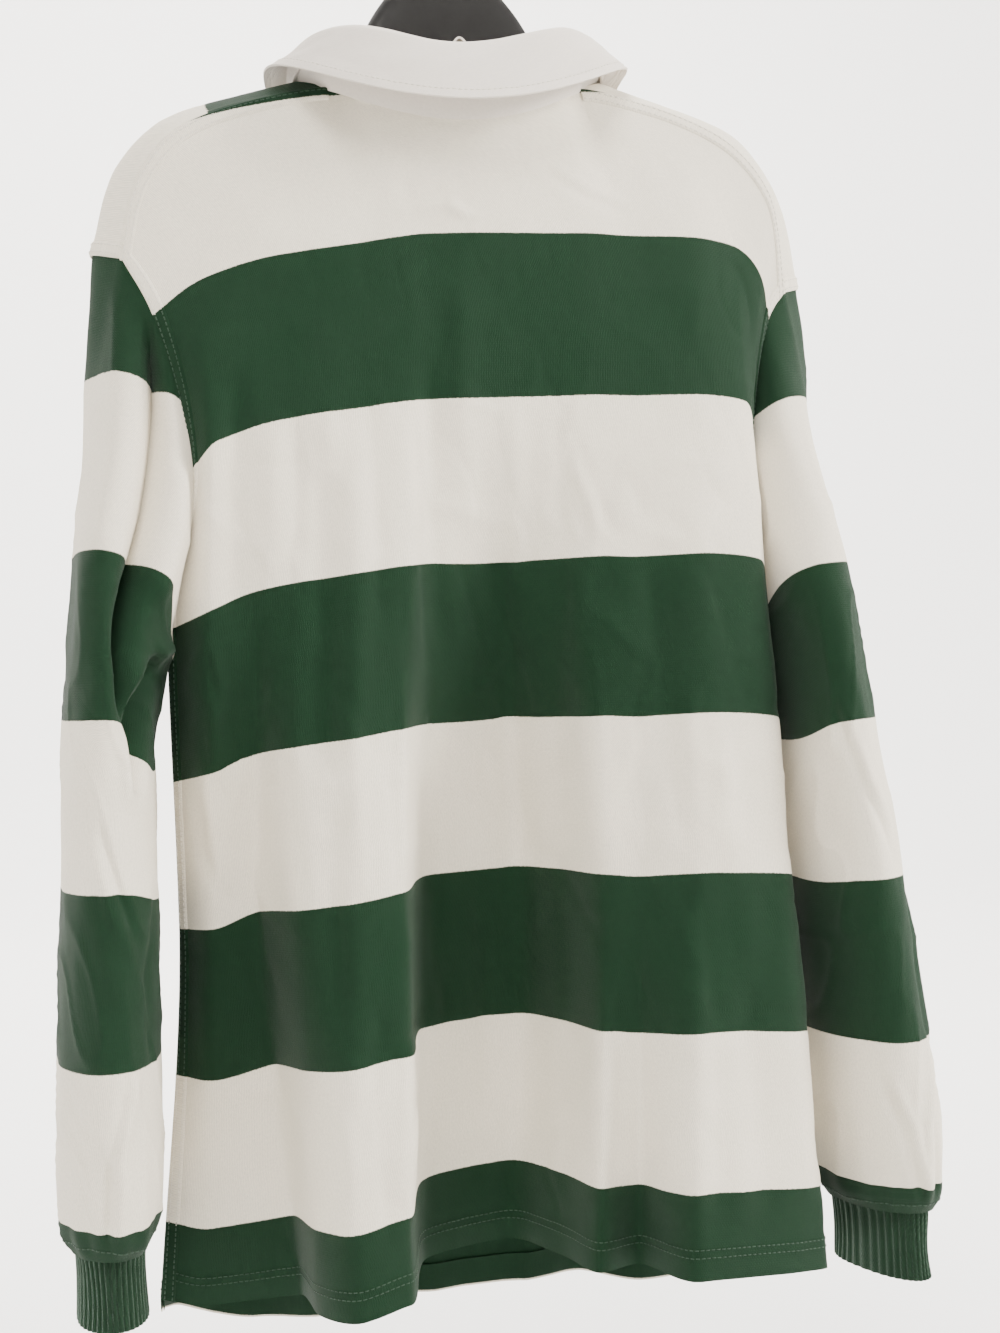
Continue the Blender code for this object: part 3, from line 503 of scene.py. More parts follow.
def mesh_object(name, points, faces, coat, flat=None, corners=None):
    """An object from points in table millimetres; flat is its cloth map in metres."""
    points = (np.asarray(points, dtype=float).reshape(-1, 3) - (HANGER_X, 0.0, HOOK_RISE)) * MM
    mesh = bpy.data.meshes.new(name)
    mesh.from_pydata(points.tolist(), [], [tuple(face) for face in faces])
    if flat is not None:
        layer = mesh.uv_layers.new(name="cloth")
        order = np.concatenate([np.asarray(face) for face in (corners or faces)])
        layer.uv.foreach_set("vector", np.asarray(flat, dtype=np.float32)[order].ravel())
    mesh.shade_smooth()
    mesh.set_sharp_from_angle(angle=math.radians(62.0))
    mesh.materials.append(bpy.data.materials[coat])
    made = bpy.data.objects.new(name, mesh)
    bpy.context.scene.collection.objects.link(made)
    return made


def ring_faces(rings, sides, base=0, closed=False, inward=False):
    """Faces between rings of points in turn, with both ends capped unless it closes up."""
    faces = []
    for ring in range(rings if closed else rings - 1):
        near, far = base + ring * sides, base + (ring + 1) % rings * sides
        for side in range(sides):
            after = (side + 1) % sides
            faces.append((near + side, near + after, far + after, far + side))
    if not closed:
        last = base + (rings - 1) * sides
        faces += [tuple(range(base, base + sides))[::-1], tuple(range(last, last + sides))]
    return [face[::-1] for face in faces] if inward else faces


def shell(name, grid, coat, thickness=SHELL, closed=False, cut=(), flat=None, lift=None):
    """A cloth wall of this thickness on a grid of points, with its cloth map."""
    grid = grid[..., :4]
    rows, columns = grid.shape[:2]
    normals = outward(grid, closed)
    surface = grid[..., :3]
    if lift is not None:
        surface = surface + normals * lift[..., None]
        normals = outward(surface, closed)
    half = thickness / 2.0
    points = np.concatenate([(surface + normals * half).reshape(-1, 3),
                             (surface - normals * half).reshape(-1, 3)])
    wide = columns + 1 if closed else columns
    if flat is None:
        flat = np.stack([run_of(surface, 1), run_of(surface, 0)], axis=-1) * MM
    if flat.shape[1] < wide:
        step = np.linalg.norm(surface[:, 0] - surface[:, -1], axis=-1) * MM
        extra = flat[:, -1:] + np.stack([step, flat[:, 0, 1] - flat[:, -1, 1]], axis=-1)[:, None]
        flat = np.concatenate([flat, extra], axis=1)
    flat = np.concatenate([flat.reshape(-1, 2), flat.reshape(-1, 2)])
    row, column = np.meshgrid(np.arange(rows - 1), np.arange(wide - 1), indexing="ij")
    row, column = row.ravel(), column.ravel()
    if len(cut):
        kept = np.array([(r, c) not in cut for r, c in zip(row.tolist(), column.tolist())])
        row, column = row[kept], column[kept]
    after = (column + 1) % columns
    outer = np.stack([row * columns + column, (row + 1) * columns + column,
                      (row + 1) * columns + after, row * columns + after], axis=1)
    mapped = np.stack([row * wide + column, (row + 1) * wide + column,
                       (row + 1) * wide + column + 1, row * wide + column + 1], axis=1)
    inner, inner_map = rows * columns, rows * wide
    count = {}
    for face, corner in zip(outer.tolist(), mapped.tolist()):
        for index in range(4):
            edge = (face[index], face[(index + 1) % 4])
            if edge[::-1] in count:
                del count[edge[::-1]]
            else:
                count[edge] = (corner[index], corner[(index + 1) % 4])
    rim = [(b, a, a + inner, b + inner) for a, b in count]
    rim_map = [(b, a, a + inner_map, b + inner_map) for a, b in count.values()]
    faces = np.concatenate([outer, outer[:, ::-1] + inner, np.array(rim).reshape(-1, 4)])
    corners = np.concatenate([mapped, mapped[:, ::-1] + inner_map,
                              np.array(rim_map).reshape(-1, 4)])
    used = np.unique(faces)
    place = np.zeros(len(points), dtype=int)
    place[used] = np.arange(len(used))
    return mesh_object(name, points[used], place[faces].tolist(), coat, flat, corners.tolist())


def joined(name, pieces):
    """Joins pieces of one material into one object."""
    first = pieces[0]
    if len(pieces) > 1:
        with bpy.context.temp_override(active_object=first, selected_editable_objects=pieces):
            bpy.ops.object.join()
    first.name = name
    first.data.name = name
    return first


# A stitch's rings: place along it and width, as shares of its length and thread
STITCH_RINGS = ((-0.5, 0.25), (-0.36, 0.85), (0.36, 0.85), (0.5, 0.25))


def stitches(name, runs, coat, length=2.7, gap=0.9, thread=0.42):
    """Rows of stitches; each run is (points, normals, distance down the cloth)."""
    points, faces, flat = [], [], []
    sides = 6
    for line, normals, down in runs:
        travel = np.concatenate([[0.0], np.cumsum(np.linalg.norm(np.diff(line, axis=0), axis=1))])
        count = max(1, int(travel[-1] // (length + gap)))
        pitch = travel[-1] / count
        centres = (np.arange(count) + 0.5) * pitch
        spread = centres[:, None] + np.array([ring[0] for ring in STITCH_RINGS]) * length
        place = np.stack([np.interp(spread, travel, line[:, axis]) for axis in range(3)], axis=-1)
        normal = np.stack([np.interp(centres, travel, normals[:, axis]) for axis in range(3)],
                          axis=-1)
        normal /= np.linalg.norm(normal, axis=-1, keepdims=True)
        onward = place[:, -1] - place[:, 0]
        onward /= np.maximum(np.linalg.norm(onward, axis=-1, keepdims=True), 1e-9)
        sideways = np.cross(onward, normal)
        level = np.interp(centres, travel, down)
        for stitch in range(count):
            base = len(points)
            for ring, (_, width) in enumerate(STITCH_RINGS):
                sunk = 0.12 if width > 0.5 else -0.28
                for side in range(sides):
                    angle = 2 * math.pi * side / sides
                    points.append(place[stitch, ring] + normal[stitch] * sunk
                                  + (sideways[stitch] * math.cos(angle)
                                     + normal[stitch] * math.sin(angle)) * thread * width)
                    flat.append((centres[stitch] * MM, level[stitch] * MM))
            faces += ring_faces(len(STITCH_RINGS), sides, base)
    return mesh_object(name, points, faces, coat, flat)


def at_distance(grid, distances, axis=1, backwards=False):
    """Surface points at set distances in from one edge: [along, distance, 4]."""
    turned = grid if axis == 1 else np.swapaxes(grid, 0, 1)
    if backwards:
        turned = turned[:, ::-1]
    near = turned[:, :60]
    run = run_of(near, 1)
    out = np.empty((near.shape[0], len(distances), near.shape[2]))
    for row in range(near.shape[0]):
        for axis_index in range(near.shape[2]):
            out[row, :, axis_index] = np.interp(distances, run[row], near[row, :, axis_index])
    return out


def with_normals(grid, sign=1.0):
    """A grid of x, y, z, distance down and its normals, to take seams from."""
    return np.concatenate([grid[..., :4], outward(grid) * sign], axis=-1)


# ---------------------------------------------------------------- finishes

def add_group(name, inputs, outputs):
    """An empty shader node group: its tree, what it is given and its end node."""
    tree = bpy.data.node_groups.new(name, "ShaderNodeTree")
    for label, kind, value in inputs:
        socket = tree.interface.new_socket(name=label, in_out="INPUT", socket_type=kind)
        if value is not None:
            socket.default_value = value
    for label, kind in outputs:
        tree.interface.new_socket(name=label, in_out="OUTPUT", socket_type=kind)
    start = tree.nodes.new("NodeGroupInput")
    end = tree.nodes.new("NodeGroupOutput")
    return tree, start.outputs, end


def feed(tree, made, inputs):
    """Gives a node's inputs what they take: plain values, or sockets to link."""
    for key, value in inputs.items():
        if isinstance(value, bpy.types.NodeSocket):
            tree.links.new(value, made.inputs[key])
        else:
            made.inputs[key].default_value = value
    return made


def node(tree, kind, inputs=None, **settings):
    """A node with its settings and its inputs."""
    made = tree.nodes.new(kind)
    for key, value in settings.items():
        setattr(made, key, value)
    return feed(tree, made, inputs or {})


def math_node(tree, operation, *inputs, clamp=False):
    """A math node's output; numbers and sockets may both be given."""
    made = node(tree, "ShaderNodeMath", operation=operation, use_clamp=clamp)
    return feed(tree, made, dict(enumerate(inputs))).outputs[0]


def mix_colours(tree, factor, first, second):
    """A colour mix; factor, first and second may be sockets or values."""
    made = node(tree, "ShaderNodeMix", data_type="RGBA")
    return feed(tree, made, {0: factor, 6: first, 7: second}).outputs[2]


def noise(tree, vector, scale, detail, roughness=0.5):
    """A noise texture's level, about 0 to 1."""
    return node(tree, "ShaderNodeTexNoise", {"Vector": vector, "Scale": scale, "Detail": detail,
                                             "Roughness": roughness}).outputs["Fac"]


def build_groups():
    """The effects that more than one finish uses."""
    colour, number, vector = "NodeSocketColor", "NodeSocketFloat", "NodeSocketVector"

    tree, given, end = add_group(
        "Hoops", (("Cloth", vector, None), ("Cream", colour, (1, 1, 1, 1)),
                  ("Green", colour, (0, 0, 0, 1)), ("Hoop", number, 0.1),
                  ("Blur", number, 0.0006)), (("Color", colour), ("Green Mask", number)))
    down = node(tree, "ShaderNodeSeparateXYZ", {"Vector": given["Cloth"]}).outputs["Y"]
    waver = noise(tree, given["Cloth"], 900.0, 2.0)
    down = math_node(tree, "ADD", down, math_node(tree, "MULTIPLY_ADD", waver, 0.0011, -0.00055))
    pair = math_node(tree, "MULTIPLY", given["Hoop"], 2.0)
    wave = math_node(tree, "WRAP", down, pair, 0.0)
    half_hoop = math_node(tree, "MULTIPLY", given["Hoop"], 0.5)
    from_middle = math_node(tree, "ABSOLUTE", math_node(tree, "SUBTRACT", wave, half_hoop))
    next_middle = math_node(tree, "ADD", half_hoop, pair)
    from_next = math_node(tree, "ABSOLUTE", math_node(tree, "SUBTRACT", next_middle, wave))
    nearest = math_node(tree, "MINIMUM", from_middle, from_next)
    edge = math_node(tree, "SUBTRACT", half_hoop, nearest)
    soft = math_node(tree, "DIVIDE", edge, given["Blur"])
    mask = math_node(tree, "ADD", soft, 0.5, clamp=True)
    feed(tree, end, {"Color": mix_colours(tree, mask, given["Cream"], given["Green"]),
                     "Green Mask": mask})

    tree, given, end = add_group(
        "Knit Wales", (("Cloth", vector, None), ("Wales", number, 900.0),
                       ("Courses", number, 700.0)), (("Height", number), ("Furrow", number)))
    axes = node(tree, "ShaderNodeSeparateXYZ", {"Vector": given["Cloth"]}).outputs
    jitter = noise(tree, given["Cloth"], 420.0, 3.0)
    across = math_node(tree, "MULTIPLY", axes["X"], given["Wales"])
    across = math_node(tree, "ADD", across, math_node(tree, "MULTIPLY", jitter, 1.3))
    down = math_node(tree, "MULTIPLY", axes["Y"], given["Courses"])
    wale = math_node(tree, "PINGPONG", across, 0.5)
    course = math_node(tree, "PINGPONG", math_node(tree, "MULTIPLY_ADD", wale, 1.4, down), 0.5)
    loops = math_node(tree, "MULTIPLY", wale, 1.4)
    height = math_node(tree, "MULTIPLY_ADD", course, 0.6, loops)
    height = math_node(tree, "ADD", height, math_node(tree, "MULTIPLY", jitter, 0.5))
    feed(tree, end, {"Height": height, "Furrow": furrow_of(tree, wale)})

    tree, given, end = add_group(
        "Twill Lines", (("Cloth", vector, None), ("Lines", number, 1100.0)),
        (("Height", number), ("Furrow", number)))
    axes = node(tree, "ShaderNodeSeparateXYZ", {"Vector": given["Cloth"]}).outputs
    slant = math_node(tree, "ADD", axes["X"], math_node(tree, "MULTIPLY", axes["Y"], 1.6))
    fibre = noise(tree, given["Cloth"], 600.0, 3.0)
    line = math_node(tree, "MULTIPLY", slant, given["Lines"])
    line = math_node(tree, "ADD", line, math_node(tree, "MULTIPLY", fibre, 0.8))
    rib = math_node(tree, "PINGPONG", line, 0.5)
    pick = math_node(tree, "PINGPONG", math_node(tree, "MULTIPLY", axes["Y"], 1500.0), 0.5)
    height = math_node(tree, "MULTIPLY_ADD", pick, 0.4, math_node(tree, "MULTIPLY", rib, 1.6))
    feed(tree, end, {"Height": height, "Furrow": furrow_of(tree, rib)})

    tree, given, end = add_group(
        "Washed Colour", (("Vector", vector, None), ("Color", colour, None),
                          ("Cloudiness", number, 0.1), ("Speckle", number, 0.1)),
        (("Color", colour), ("Cloud", number)))
    cloud = noise(tree, given["Vector"], 14.0, 4.0, 0.6)
    fleck = noise(tree, given["Vector"], 520.0, 2.0)
    level = 1.0
    for tone, amount in ((cloud, "Cloudiness"), (fleck, "Speckle")):
        swing = math_node(tree, "SUBTRACT", tone, 0.5)
        level = math_node(tree, "ADD", level, math_node(tree, "MULTIPLY", swing, given[amount]))
    toned = node(tree, "ShaderNodeVectorMath", operation="SCALE")
    feed(tree, toned, {0: given["Color"], "Scale": level})
    feed(tree, end, {"Color": toned.outputs[0], "Cloud": cloud})

    tree, given, end = add_group(
        "Surface Wear", (("Vector", vector, None), ("Scale", number, 60.0),
                         ("Low", number, 0.3), ("High", number, 0.6)),
        (("Roughness", number), ("Height", number)))
    rub = noise(tree, given["Vector"], given["Scale"], 6.0, 0.65)
    spread = node(tree, "ShaderNodeMapRange", {"Value": rub, "From Min": 0.3, "From Max": 0.7,
                                               "To Min": given["Low"], "To Max": given["High"]})
    feed(tree, end, {"Roughness": spread.outputs[0],
                     "Height": noise(tree, given["Vector"], 1400.0, 2.0)})


def furrow_of(tree, rib):
    """One in the furrow between two ribs, falling to nothing on a rib's back: where painted shade
    darkens the cloth.
    """
    return math_node(tree, "SUBTRACT", 1.0, math_node(tree, "MULTIPLY", rib, 2.0), clamp=True)


def use_group(tree, name, inputs):
    """The outputs of one of the shared effects, placed in this tree."""
    placed = tree.nodes.new("ShaderNodeGroup")
    placed.node_tree = bpy.data.node_groups[name]
    return feed(tree, placed, inputs).outputs


def blank_material(name, roughness, sheen=0.0, sheen_tint=(1, 1, 1, 1), metallic=0.0, specular=0.5):
    """A material with only its Principled shader, and that shader's own constants."""
    made = bpy.data.materials.new(name)
    made.use_nodes = True
    tree, shader = made.node_tree, made.node_tree.nodes["Principled BSDF"]
    feed(tree, shader, {"Roughness": roughness, "Metallic": metallic, "Sheen Weight": sheen,
                        "Sheen Roughness": SHEEN_ROUGHNESS, "Sheen Tint": sheen_tint,
                        "Specular IOR Level": specular})
    return tree, shader


def bump(tree, height, strength, distance):
    """A normal that stands the surface up by this height."""
    return node(tree, "ShaderNodeBump", {"Height": height, "Strength": strength,
                                         "Distance": distance}).outputs["Normal"]


def cloth_map(tree):
    """The flat cloth's own coordinates: across and down, in metres."""
    return node(tree, "ShaderNodeUVMap", uv_map="cloth").outputs["UV"]


def washed_colour(tree, where, colour, cloudiness, speckle):
    """A colour, or a colour socket, made cloudy and flecked."""
    return use_group(tree, "Washed Colour", {"Vector": where, "Color": colour,
                                             "Cloudiness": cloudiness, "Speckle": speckle})


def woven_finish(tree, shader, colour, weave, tones, furrow, relief):
    """Cloth of a washed colour with painted shade darkening its weave's furrows, and the weave's
    relief.
    """
    cloth = cloth_map(tree)
    group, counts = weave
    deep, shade = furrow
    threads = use_group(tree, group, {"Cloth": cloth, **counts})
    washed = washed_colour(tree, cloth, colour, *tones)
    # painted shade: the colour is mixed toward a dark shade colour in the furrows between ribs
    painted_furrow_shade = math_node(tree, "MULTIPLY", threads["Furrow"], deep)
    feed(tree, shader, {"Base Color": mix_colours(tree, painted_furrow_shade, washed["Color"], shade),
                        "Normal": bump(tree, threads["Height"], *relief)})
    return washed


def solid_finish(name, roughness, colour, tones, wear=None, relief=None, **settings):
    """A solid's finish on its own coordinates, with wear where that is given."""
    tree, shader = blank_material(name, roughness, **settings)
    where = node(tree, "ShaderNodeTexCoord").outputs["Object"]
    feed(tree, shader, {"Base Color": washed_colour(tree, where, colour, *tones)["Color"]})
    if wear:
        worn = use_group(tree, "Surface Wear", {"Vector": where, **wear})
        feed(tree, shader, {"Roughness": worn["Roughness"],
                            "Normal": bump(tree, worn["Height"], *relief)})


def build_finishes(colours, sizes):
    """Every material, from the panel's colours."""
    build_groups()
    cream, green, thread, twill, hanger = (
        tuple(colour) + (1.0,) for colour in (colours.cream, colours.green, colours.thread,
                                              colours.twill, colours.hanger))
    black = (0.0, 0.0, 0.0, 1.0)

    # each finish's furrow pair below is the strength and colour of the painted shade in its weave's
    # furrows
    tree, shader = blank_material("hooped_jersey", 0.9, 0.06, (0.9, 0.92, 0.88, 1), specular=0.2)
    hoops = use_group(tree, "Hoops", {"Cloth": cloth_map(tree), "Cream": cream, "Green": green,
                                      "Hoop": sizes.hoop})
    washed = woven_finish(tree, shader, hoops["Color"], ("Knit Wales", {}), (0.16, 0.26),
                          (0.22, black), (0.5, 0.0004))
    feed(tree, shader, {"Roughness": math_node(tree, "MULTIPLY_ADD", washed["Cloud"], 0.14, 0.82)})

    tree, shader = blank_material("rib_knit", 0.92, 0.2, (0.7, 0.9, 0.75, 1), specular=0.25)
    woven_finish(tree, shader, green, ("Knit Wales", {"Wales": 780.0, "Courses": 620.0}),
                 (0.25, 0.4), (0.35, black), (0.7, 0.0005))

    tree, shader = blank_material("cotton_twill", 0.86, 0.1, specular=0.3)
    woven_finish(tree, shader, twill, ("Twill Lines", {}), (0.14, 0.16),
                 (0.12, (0.12, 0.1, 0.07, 1.0)), (0.35, 0.0003))

    lighter = tuple(value * 1.3 for value in green[:3]) + (1.0,)
    for name, hooped in (("pale_thread", False), ("hoop_thread", True)):
        tree, shader = blank_material(name, 0.6, 0.1)
        cloth, colour = cloth_map(tree), thread
        if hooped:
            colour = use_group(tree, "Hoops", {"Cloth": cloth, "Cream": thread, "Green": lighter,
                                               "Hoop": sizes.hoop})["Color"]
        feed(tree, shader, {"Base Color": washed_colour(tree, cloth, colour, 0.1, 0.3)["Color"]})

    solid_finish("button_rubber", 0.5, (0.6, 0.55, 0.46, 1.0), (0.2, 0.08),
                 {"Low": 0.42, "High": 0.6}, (0.15, 0.0002))
    solid_finish("moulded_plastic", 0.55, hanger, (0.5, 0.3),
                 {"Low": 0.48, "High": 0.7}, (0.25, 0.0003), specular=0.2)
    solid_finish("bright_steel", 0.28, (0.6, 0.6, 0.61, 1.0), (0.12, 0.1),
                 {"Scale": 240.0, "Low": 0.2, "High": 0.38}, (0.1, 0.0001), metallic=1.0)
    solid_finish("studio_paint", 0.9, (0.92, 0.915, 0.905, 1.0), (0.02, 0.0))


# ---------------------------------------------------------------- the cloth

def wear_and_hang(grid, seed, amount):
    """Soft unevenness of hung cloth: long swells, short dents and fine puckers."""
    across, down = grid[..., 0], grid[..., 2]
    below = smooth_step(-down, 150.0, 520.0)
    height = ripple(across / 46.0, down / 260.0, seed) * (0.5 + 2.1 * below)
    height += ripple(across / 21.0, down / 90.0, seed + 1) * (0.24 + 0.7 * below)
    dents = ripple((across + down * 0.35) / 34.0, (down - across * 0.3) / 60.0, seed + 2)
    height += (1.0 - np.abs(dents)) ** 6 * 0.9 * (0.35 + below)
    dents = ripple((across - down * 0.3) / 25.0, (down + across * 0.4) / 48.0, seed + 3)
    height -= (1.0 - np.abs(dents)) ** 7 * 0.8 * (0.35 + below)
    height += ripple(across / 7.0, down / 9.0, seed + 4) * 0.16
    return height * amount


def back_surface():
    """The back's fine surface: x, y, z and distance down from the first hoop."""
    table = fold_points(BACK_FOLDS, BACK_LEVELS)
    rows = steps_through([level[2] for level in BACK_LEVELS[1:]])
    columns = steps_through([fold[-1] * FINE for fold in BACK_FOLDS[:-1]])
    grid = on_neck(between(table, rows, columns), BACK_FOLDS, columns)
    height = wear_and_hang(grid, 11, 1.0)
    height += crease_height(grid[..., 0], grid[..., 2], BACK_CREASES)
    top = grid[:1, :, 3]
    rise = np.clip((grid[..., 3] - top) / np.maximum(top, 1.0), 0, 1)
    height += np.sin(np.pi * rise) * 4.5 * smooth_step(np.abs(grid[..., 0]), 80.0, 130.0)
    return worked(grid, height, 1.0)


def worked(grid, height, sign):
    """Cloth moved out by its folds, less at its edges, with a turned hem."""
    run, total = run_of(grid, 1), run_of(grid, 1)[:, -1:]
    edge = smooth_step(np.minimum(run, total - run), 1.0, 26.0)
    fall = run_of(grid, 0)
    top = smooth_step(fall, 2.0, 30.0)
    left = fall[-1:] - fall
    hem = smooth_step(left, 0.0, 40.0)
    height = height * edge * top * (0.35 + 0.65 * hem)
    turn = 0.42 * (1.0 - smooth_step(left, 19.5, 22.0))
    pucker = ripple(run / 6.5, left / 30.0, 77) * 0.28
    turn += pucker * smooth_step(left, 8.0, 16.0) * (1.0 - smooth_step(left, 24.0, 34.0))
    grid = grid.copy()
    grid[..., :3] += outward(grid) * sign * (height + turn)[..., None]
    return grid


def front_surface():
    """The front's fine surface, its top edge under the back's at the shoulders."""
    table = fold_points(FRONT_FOLDS, FRONT_LEVELS)
    rows = steps_through([level[2] for level in FRONT_LEVELS[1:]])
    columns = steps_through([fold[-1] * FINE for fold in FRONT_FOLDS[:-1]])
    grid = on_neck(between(table, rows, columns), FRONT_FOLDS, columns)
    back = fold_points(BACK_FOLDS, BACK_LEVELS)
    places = np.linspace(UNDERARM_LEVEL, len(BACK_LEVELS) - 1.0, 60)
    for column in (0, -1):
        line = flowing(back[:, column], places)
        for row in range(1, grid.shape[0]):
            height = grid[row, column, 2]
            if height < line[0, 2] + 1.0:
                for axis, clear in ((0, 0.0), (1, SIDE_CLEAR)):
                    at = np.interp(-height, -line[:, 2], line[:, axis])
                    grid[row, column, axis] = at - clear
    left = sum(fold[-1] for fold in FRONT_FOLDS[:4]) * FINE
    right = sum(fold[-1] for fold in FRONT_FOLDS[-5:]) * FINE
    tuck = at_distance(with_normals(back_surface()), [TUCK], axis=0)[:, 0]
    tuck = tuck[:, :3] - tuck[:, 4:] * UNDER
    order = np.argsort(tuck[:, 0])
    last = grid.shape[1] - 1
    for span in (slice(0, left + 1), slice(last - right, last + 1)):
        for axis in (1, 2):
            grid[0, span, axis] = np.interp(grid[0, span, 0], tuck[order, 0], tuck[order, axis])
    height = wear_and_hang(grid, 41, 0.8)
    middle = np.abs(grid[..., 0] - HANGER_X)
    calm = smooth_step(middle, 20.0, 60.0) + smooth_step(-grid[..., 2], 400.0, 460.0)
    return worked(grid, height * np.clip(calm, 0.0, 1.0), -1.0)


def slit_cut(grid):
    """Faces of the front left out for the placket slit."""
    names = [fold[0] for fold in FRONT_FOLDS]
    slit = names.index(SLIT_FOLD)
    first = sum(fold[-1] for fold in FRONT_FOLDS[:slit]) * FINE
    columns = range(first, first + FRONT_FOLDS[slit][-1] * FINE)
    lowest = grid[0, first, 2] - SLIT_LENGTH
    return {(row, column) for row in range(grid.shape[0] - 1) for column in columns
            if grid[row + 1, column, 2] > lowest}


def armhole(side, clear):
    """The armhole's edge as a closed line: underarm, up the back, down the front."""
    back = fold_points(BACK_FOLDS, BACK_LEVELS)
    front = fold_points(FRONT_FOLDS, FRONT_LEVELS)
    edge, inside = (0, 1) if side > 0 else (-1, -2)
    lines = []
    for table, places in ((back, np.linspace(UNDERARM_LEVEL, 0.0, 31)),
                          (front, np.linspace(0.0, UNDERARM_LEVEL + 1.0, 39)[1:])):
        line = flowing(table[:, edge], places)[:, :3]
        onward = line - flowing(table[:, inside], places)[:, :3]
        onward /= np.linalg.norm(onward, axis=1, keepdims=True)
        lines.append(line + onward * clear)
    return np.concatenate(lines), 30


def along(line, places):
    """Points at fractions of a line's length."""
    lengths = np.concatenate([[0.0], np.cumsum(np.linalg.norm(np.diff(line, axis=0), axis=1))])
    at = np.asarray(places) * lengths[-1]
    return np.stack([np.interp(at, lengths, line[:, axis]) for axis in range(3)], axis=1)


def section_points(values, turns, set_of):
    """Points round a sleeve at these turns (0 body side, 90 back, 180 outside)."""
    column = set_of["column"]
    lean = np.radians(values[..., 6 + column])
    angle = np.radians(turns)
    out = -np.cos(angle) * values[..., 5]
    rear = np.sin(angle)
    rear = np.sign(rear) * np.abs(rear) ** 0.85 * values[..., 4]
    x = values[..., 1 + column] + out * np.cos(lean) - rear * np.sin(lean)
    y = values[..., 3] + rear * np.cos(lean) + out * np.sin(lean)
    return np.stack([set_of["side"] * x, y, set_of["cap_z"] - values[..., 0]], axis=-1)


def sleeve_surface(which):
    """A sleeve's fine surface, from under the armhole's edge down to the cuff."""
    set_of = SLEEVE[which]
    side = set_of["side"]
    turns = np.arange(SLEEVE_COLUMNS) * 360.0 / SLEEVE_COLUMNS
    line, top = armhole(side, -TUCK)
    centre = line.mean(axis=0)
    toward = centre - line
    line = line + toward / np.linalg.norm(toward, axis=1, keepdims=True) * UNDER
    lengths = np.concatenate([[0.0], np.cumsum(np.linalg.norm(np.diff(line, axis=0), axis=1))])
    share = lengths[top] / lengths[-1]
    places = np.where(turns <= 180.0, turns / 180.0 * share,
                      share + (turns - 180.0) / 180.0 * (1.0 - share))
    cap = along(line, places)
    highest, lowest = line[:, 2].max(), line[:, 2].min()
    cap_depth = (highest - cap[:, 2]) / (highest - lowest) * UNDERARM_DEPTH
    sections = np.array(SLEEVE_SECTIONS)
    rows = np.linspace(0.0, 1.0, SLEEVE_ROWS + 1)[:, None]
    depth = cap_depth + (SLEEVE_LENGTH - cap_depth) * rows
    depths = sections[:, 0]

    def ring(at):
        place = np.interp(at.ravel(), depths, np.arange(len(depths)))
        values = flowing(sections, place).reshape(at.shape + (sections.shape[1],))
        return section_points(values, np.broadcast_to(turns, at.shape), set_of)

    hold = np.clip((depth - cap_depth) / CAP_REACH, 0.0, 1.0)
    hold = (1.0 - hold) ** 2 * (1.0 + 2.0 * hold)
    grid = ring(depth) + (cap - ring(cap_depth[None]))[0] * hold[..., None]
    turned = np.broadcast_to(turns, depth.shape)
    sag = set_of["sag"] * np.exp(-((turned - 18.0 + 180.0) % 360.0 - 180.0) ** 2 / 34.0 ** 2)
    sag *= smooth_step(depth, 110.0, 240.0) * (1.0 - smooth_step(depth, 300.0, 430.0))
    across = depth - SLEEVE_HOOP_START + HOOP - sag
    grid = np.concatenate([grid, across[..., None]], axis=-1)
    seed = 5 if side > 0 else 8
    round_it = turned / 360.0
    swell = cylinder_ripple(round_it, depth, 9, 190.0, seed) * 1.5
    swell += cylinder_ripple(round_it, depth, 16, 70.0, seed + 1) * 0.9
    swell += cylinder_ripple(round_it, depth, 50, 12.0, seed + 2) * 0.12
    dents = 1.0 - np.abs(cylinder_ripple(round_it + depth / 900.0, depth, 12, 55.0, seed + 3))
    swell += dents ** 6 * 1.4
    gather = smooth_step(depth, 505.0, 592.0)
    swell += cylinder_ripple(round_it, depth, 26, 120.0, seed + 4) * 1.5 * gather
    swell += cylinder_ripple(round_it, depth, 13, 60.0, seed + 5) * 1.6 * gather
    swell += crease_height(turned, depth, SLEEVE_CREASES[which], wrap=360.0)
    calm = smooth_step(depth - cap_depth, 4.0, 34.0)
    calm *= 1.0 - 0.75 * smooth_step(depth, 590.0, 600.0)
    grid = grid if side > 0 else grid[:, ::-1]
    swell = swell * calm
    swell = swell if side > 0 else swell[:, ::-1]
    normals = outward(grid, closed=True)
    grid[..., :3] += normals * tube_sign(grid, normals) * swell[..., None]
    return grid


def cylinder_ripple(turn, down, swells, length, seed):
    """Unevenness round a tube, with this many swells to a turn, that closes up."""
    return ripple((turn % 1.0) * swells, down / length, seed, swells)


def tube_sign(grid, normals):
    """Plus one where a tube's normals point away from its middle."""
    middle = grid[..., :3].mean(axis=1, keepdims=True)
    return 1.0 if ((grid[..., :3] - middle) * normals).sum() > 0 else -1.0


def cloth_uv(grid):
    """The cloth map of a surface: run across, and distance down from the first hoop."""
    return np.stack([run_of(grid, 1), grid[..., 3]], axis=-1) * MM


# A felled seam: distance in from the cloth's edge, and height over the cloth
SEAM_PROFILE = ((-0.4, -0.5), (0.3, 0.35), (1.2, 0.75), (4.2, 0.7), (7.4, 0.75), (8.4, 0.35),
                (9.0, -0.5))
SEAM_STITCHES = (1.9, 7.0)


